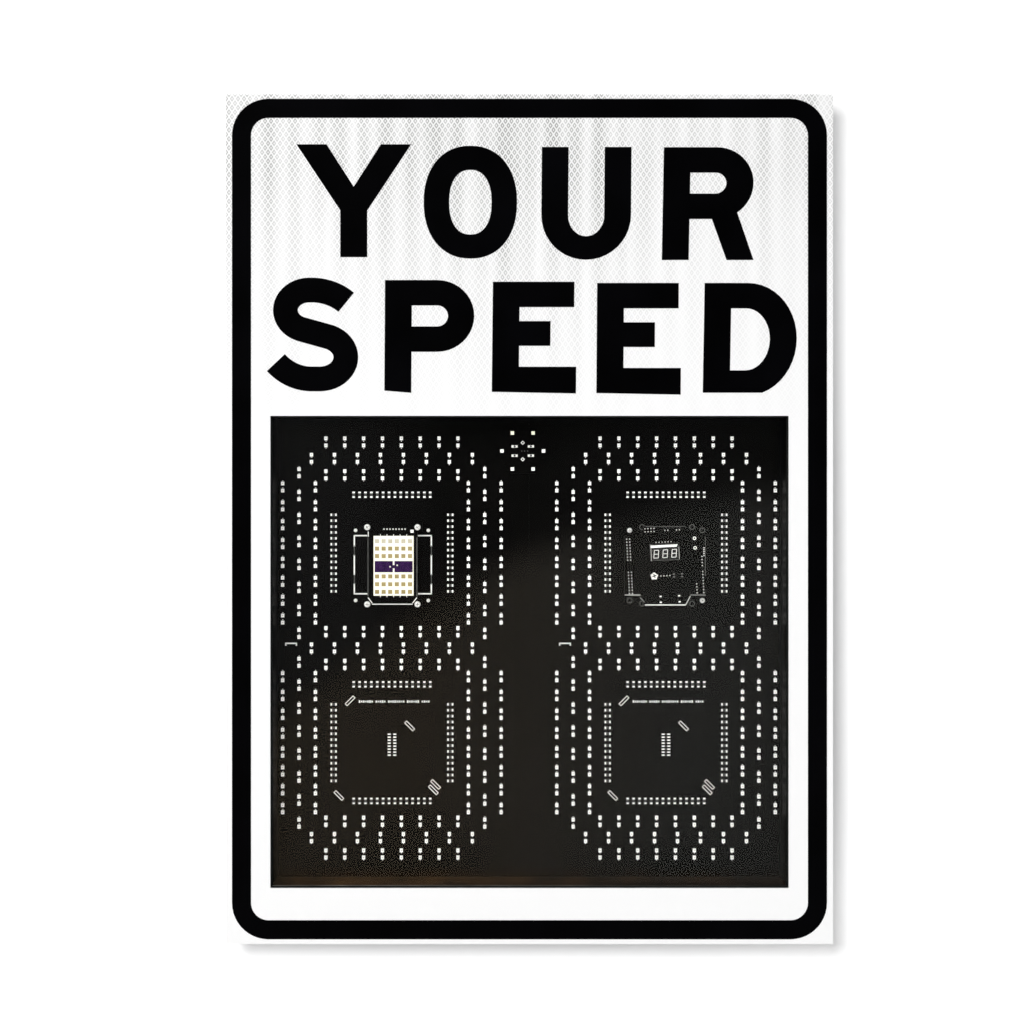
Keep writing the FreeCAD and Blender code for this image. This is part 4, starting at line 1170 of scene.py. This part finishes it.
def make_rail_rivets():
    for rail in ("upper_rail", "lower_rail"):
        lowest, highest = low(rail), high(rail)
        rivets = [bead(station * (highest.x - lowest.x), z, *RIVET, lowest.y + RAIL_SHEET, SCREW_SIDES, way=1)
                  for z in (lowest.z + RIVET_INSET, highest.z - RIVET_INSET) for station in RIVET_STATIONS]
        new_piece(f"{rail}_rivets", rivets, PLATED_METAL, smooth=True)


def make_cover_screws():
    seat = low("cover_gasket").y + COVER_RIM_DEPTH
    across, up = high("rear_cover").x - COVER_SCREW_INSET, high("rear_cover").z - COVER_SCREW_INSET
    columns = spaced(COVER_COLUMNS, 2 * across / (COVER_COLUMNS - 1))
    rows = spaced(COVER_ROWS, 2 * up / (COVER_ROWS - 1))
    seats = [(x, z) for x in columns for z in (rows[0], rows[-1])]
    seats += [(x, z) for x in (columns[0], columns[-1]) for z in rows[1:-1]]
    make_screws("cover_screw", seats, seat, *COVER_SCREW, PLATED_METAL, "plated_metal", way=1)


# Studio


FACE_DISTANCE = 1000.0
FRAME_WIDTH = 843.5
AIM = (-14.4, 115.3)
SENSOR = 36.0
WALL_GAP = 2.0
STAGE_HALF = 4500.0
STAGE_FADE = (900.0, 2600.0)
WALL_TONE = 0.90
FLOOR_LEVEL = -520.0
FLOOR_TONE = 0.93
AMBIENT = 0.56
WHITE = (1, 1, 1, 1)
# Watts, place, target and size of a lamp, in metres
KEY_LAMP = (50.0, (-1.1, -2.3, 1.9), (0, -0.1, 0.1), 1.8)
BACK_LAMP = (45.0, (2.3, 1.7, 1.9), (0, 0, 0.05), 1.8)
WINDOW_LAMP = (12.0, (AIM[0] * MM, -1.6, AIM[1] * MM), (0, 0, 0), 0.5)
SHADOW_WATTS = 15.0
SHADOW_LAMP_SIZE = 0.21
SHADOW_SHIFT = (-108, 98)
WINDOW_FINISHES = (LED_PLASTIC, LED_DIE, LED_WARM, SOLDER, DULL_METAL_AND_SHADE, PLATED_METAL, WHITE_NYLON, PRINT_AND_PAINTED_LIGHT,
                   AGED_PRINT_AND_SHADE, FAINT_PRINT_AND_SHADE, ANTENNA, PATCH_GOLD, PATCH_PALE, PURPLE_MASK)


def make_camera():
    """Straight on, at the distance that gives the depth of the window its look."""
    data = bpy.data.cameras.new("camera")
    data.sensor_width = SENSOR
    data.lens = SENSOR * FACE_DISTANCE / FRAME_WIDTH
    camera = bpy.data.objects.new("camera", data)
    camera.location = Vector((AIM[0], SHEETING_LEVEL - FACE_DISTANCE, AIM[1])) * MM
    camera.rotation_euler = (math.pi / 2, 0, 0)
    scene.collection.objects.link(camera)
    scene.camera = camera


def flat_stage(name, material, centre, across, up, hidden=()):
    """A flat sheet from its centre and its two half sides, hidden from some kinds of ray."""
    centre, across, up = Vector(centre), Vector(across), Vector(up)
    corners = (centre - across - up, centre + across - up, centre + across + up, centre - across + up)
    mesh = bpy.data.meshes.new(name)
    mesh.from_pydata([corner * MM for corner in corners], [], [(0, 1, 2, 3)])
    mesh.materials.append(material)
    made = bpy.data.objects.new(name, mesh)
    scene.collection.objects.link(made)
    for ray in hidden:
        setattr(made, f"visible_{ray}", False)
    return made


def seen_directly(graph):
    """1 for what the camera, a mirror or glass sees, and 0 for what only lights other things."""
    path = add_node(graph, "ShaderNodeLightPath").outputs
    mirrored = calc(graph, "MAXIMUM", path["Is Glossy Ray"], path["Is Transmission Ray"])
    return calc(graph, "MAXIMUM", path["Is Camera Ray"], mirrored)


def make_stage_paint(name, tone):
    """Pale paint that takes the sign's shadow and runs into the white ground further away."""
    made, graph, shader = new_material(name, roughness=0.9, specular=0.0)
    shader.inputs["Base Color"].default_value = (tone, tone, tone, 1)
    away = add_node(graph, "ShaderNodeVectorMath", {0: place_in_mm(graph)}, operation="LENGTH")
    far = map_range(graph, away.outputs["Value"], *STAGE_FADE, "SMOOTHSTEP")
    share = calc(graph, "MULTIPLY", far, seen_directly(graph))
    white = add_node(graph, "ShaderNodeEmission")
    painted = mix_shaders(graph, share, shader.outputs[0], white.outputs[0])
    show(graph, painted)
    return made, graph, painted


def make_backdrop():
    """A white wall behind the sign, seen only from its front, and a white floor well below."""
    wall_paint, graph, painted = make_stage_paint("wall_paint", WALL_TONE)
    behind = add_node(graph, "ShaderNodeNewGeometry").outputs["Backfacing"]
    clear = add_node(graph, "ShaderNodeBsdfTransparent")
    show(graph, mix_shaders(graph, behind, painted, clear.outputs[0]))
    across = (STAGE_HALF, 0, 0)
    wall = flat_stage("wall", wall_paint, (0, WALL_GAP, 0), across, (0, 0, STAGE_HALF),
                      ("diffuse", "glossy", "transmission", "shadow"))
    floor_paint = make_stage_paint("floor_paint", FLOOR_TONE)[0]
    flat_stage("floor", floor_paint, (0, 0, FLOOR_LEVEL), across, (0, STAGE_HALF, 0))
    return wall


def add_lamp(name, watts, place, target, size, shape="SQUARE"):
    data = bpy.data.lights.new(name, "AREA")
    data.energy = watts
    data.shape = shape
    data.size = size
    lamp = bpy.data.objects.new(name, data)
    lamp.location = Vector(place)
    lamp.rotation_euler = (Vector(target) - Vector(place)).to_track_quat("-Z", "Y").to_euler()
    scene.collection.objects.link(lamp)
    return lamp


def link_light(lamp, receivers, state="INCLUDE"):
    """Let a lamp light these objects only, or everything but these when they are excluded."""
    lamp.light_linking.receiver_collection = bpy.data.collections.new(lamp.name + "_receivers")
    for receiver in receivers:
        lamp.light_linking.receiver_collection.objects.link(receiver)
    for member in lamp.light_linking.receiver_collection.collection_objects:
        member.light_linking.link_state = state


def make_lamps(wall):
    """A large soft key, one behind, one for the depth of the window and a small one for the shadow."""
    link_light(add_lamp("key", *KEY_LAMP), [wall], "EXCLUDE")
    add_lamp("back", *BACK_LAMP)
    pieces = [piece for piece in scene.objects if piece.type == "MESH"]
    lit = [piece for piece in pieces if piece.data.materials[0] in WINDOW_FINISHES]
    link_light(add_lamp("window", *WINDOW_LAMP), lit)
    place = Vector((AIM[0] + SHADOW_SHIFT[0], SHEETING_LEVEL - FACE_DISTANCE, AIM[1] + SHADOW_SHIFT[1])) * MM
    shadow = add_lamp("shadow", SHADOW_WATTS, place, (0, 0, AIM[1] * MM), SHADOW_LAMP_SIZE, "DISK")
    link_light(shadow, [wall])


def make_world():
    """Even soft light, in front of a white ground."""
    world = bpy.data.worlds.new("studio")
    scene.world = world
    world.use_nodes = True
    graph = world.node_tree
    light = graph.nodes["Background"]
    light.inputs["Color"].default_value = WHITE
    light.inputs["Strength"].default_value = AMBIENT
    white = add_node(graph, "ShaderNodeBackground", {"Color": WHITE, "Strength": 1.0})
    mixed = mix_shaders(graph, seen_directly(graph), light.outputs[0], white.outputs[0])
    show(graph, mixed, "World Output")


CARD_DISTANCE = 1000.0
CARD_HALF = (1800.0, 1300.0)
CARD_STRENGTH = 1.2
# The slopes of the card's horizon left and right of the middle, and the rise over which it brightens
HORIZON_SLOPES = (0.68, 0.20)
HORIZON_BLUR = (111.0, 7.0)
WAVE_LENGTH = 340
WAVE_HEIGHT = 130
MIRRORED_SPAN = (-412.0, 440.0)


def make_reflection_card():
    """A card in front of the sign that only mirrors see: dark above a bent horizon, pale and warm below."""
    card_paint, graph = bare_material("card_paint")
    place = place_in_mm(graph)
    x, _, z = axes(graph, place)
    swing = calc(graph, "SUBTRACT", noise(graph, place, WAVE_LENGTH), 0.5)
    waves = calc(graph, "MULTIPLY", swing, WAVE_HEIGHT)
    slopes = [calc(graph, "MULTIPLY", x, slope) for slope in HORIZON_SLOPES]
    horizon = calc(graph, "SUBTRACT", calc(graph, "MINIMUM", *slopes), waves)
    lit = map_range(graph, calc(graph, "SUBTRACT", z, horizon), *HORIZON_BLUR, "SMOOTHSTEP")
    run = map_range(graph, x, *MIRRORED_SPAN)
    shade = ramp(graph, run,
                 ((0.0, 0.36), (0.15, 0.30), (0.35, 0.07), (0.5, 0.06), (0.75, 0.16), (1.0, 0.10)))
    pale = ramp(graph, run, ((0.3, (1.0, 0.81, 0.58)), (0.8, (0.95, 0.94, 0.89))))
    inputs = {"Color": mix_colours(graph, lit, shade, pale), "Strength": CARD_STRENGTH}
    show(graph, add_node(graph, "ShaderNodeEmission", inputs).outputs[0])
    centre = (AIM[0], SHEETING_LEVEL - CARD_DISTANCE, AIM[1])
    flat_stage("reflection_card", card_paint, centre, (CARD_HALF[0], 0, 0), (0, 0, CARD_HALF[1]),
               ("camera", "diffuse", "transmission", "shadow"))


dress_frame()
make_legend()
make_leds()
make_resistor_ends()
make_board_print()
make_antenna_patches()
make_radar_print()
make_antenna_ground()
make_radar_joints()
make_controller()
make_display()
make_board_fasteners()
make_strobe()
make_rail_rivets()
make_cover_screws()
make_camera()
make_lamps(make_backdrop())
make_world()
make_reflection_card()
scene.view_settings.view_transform = "Standard"
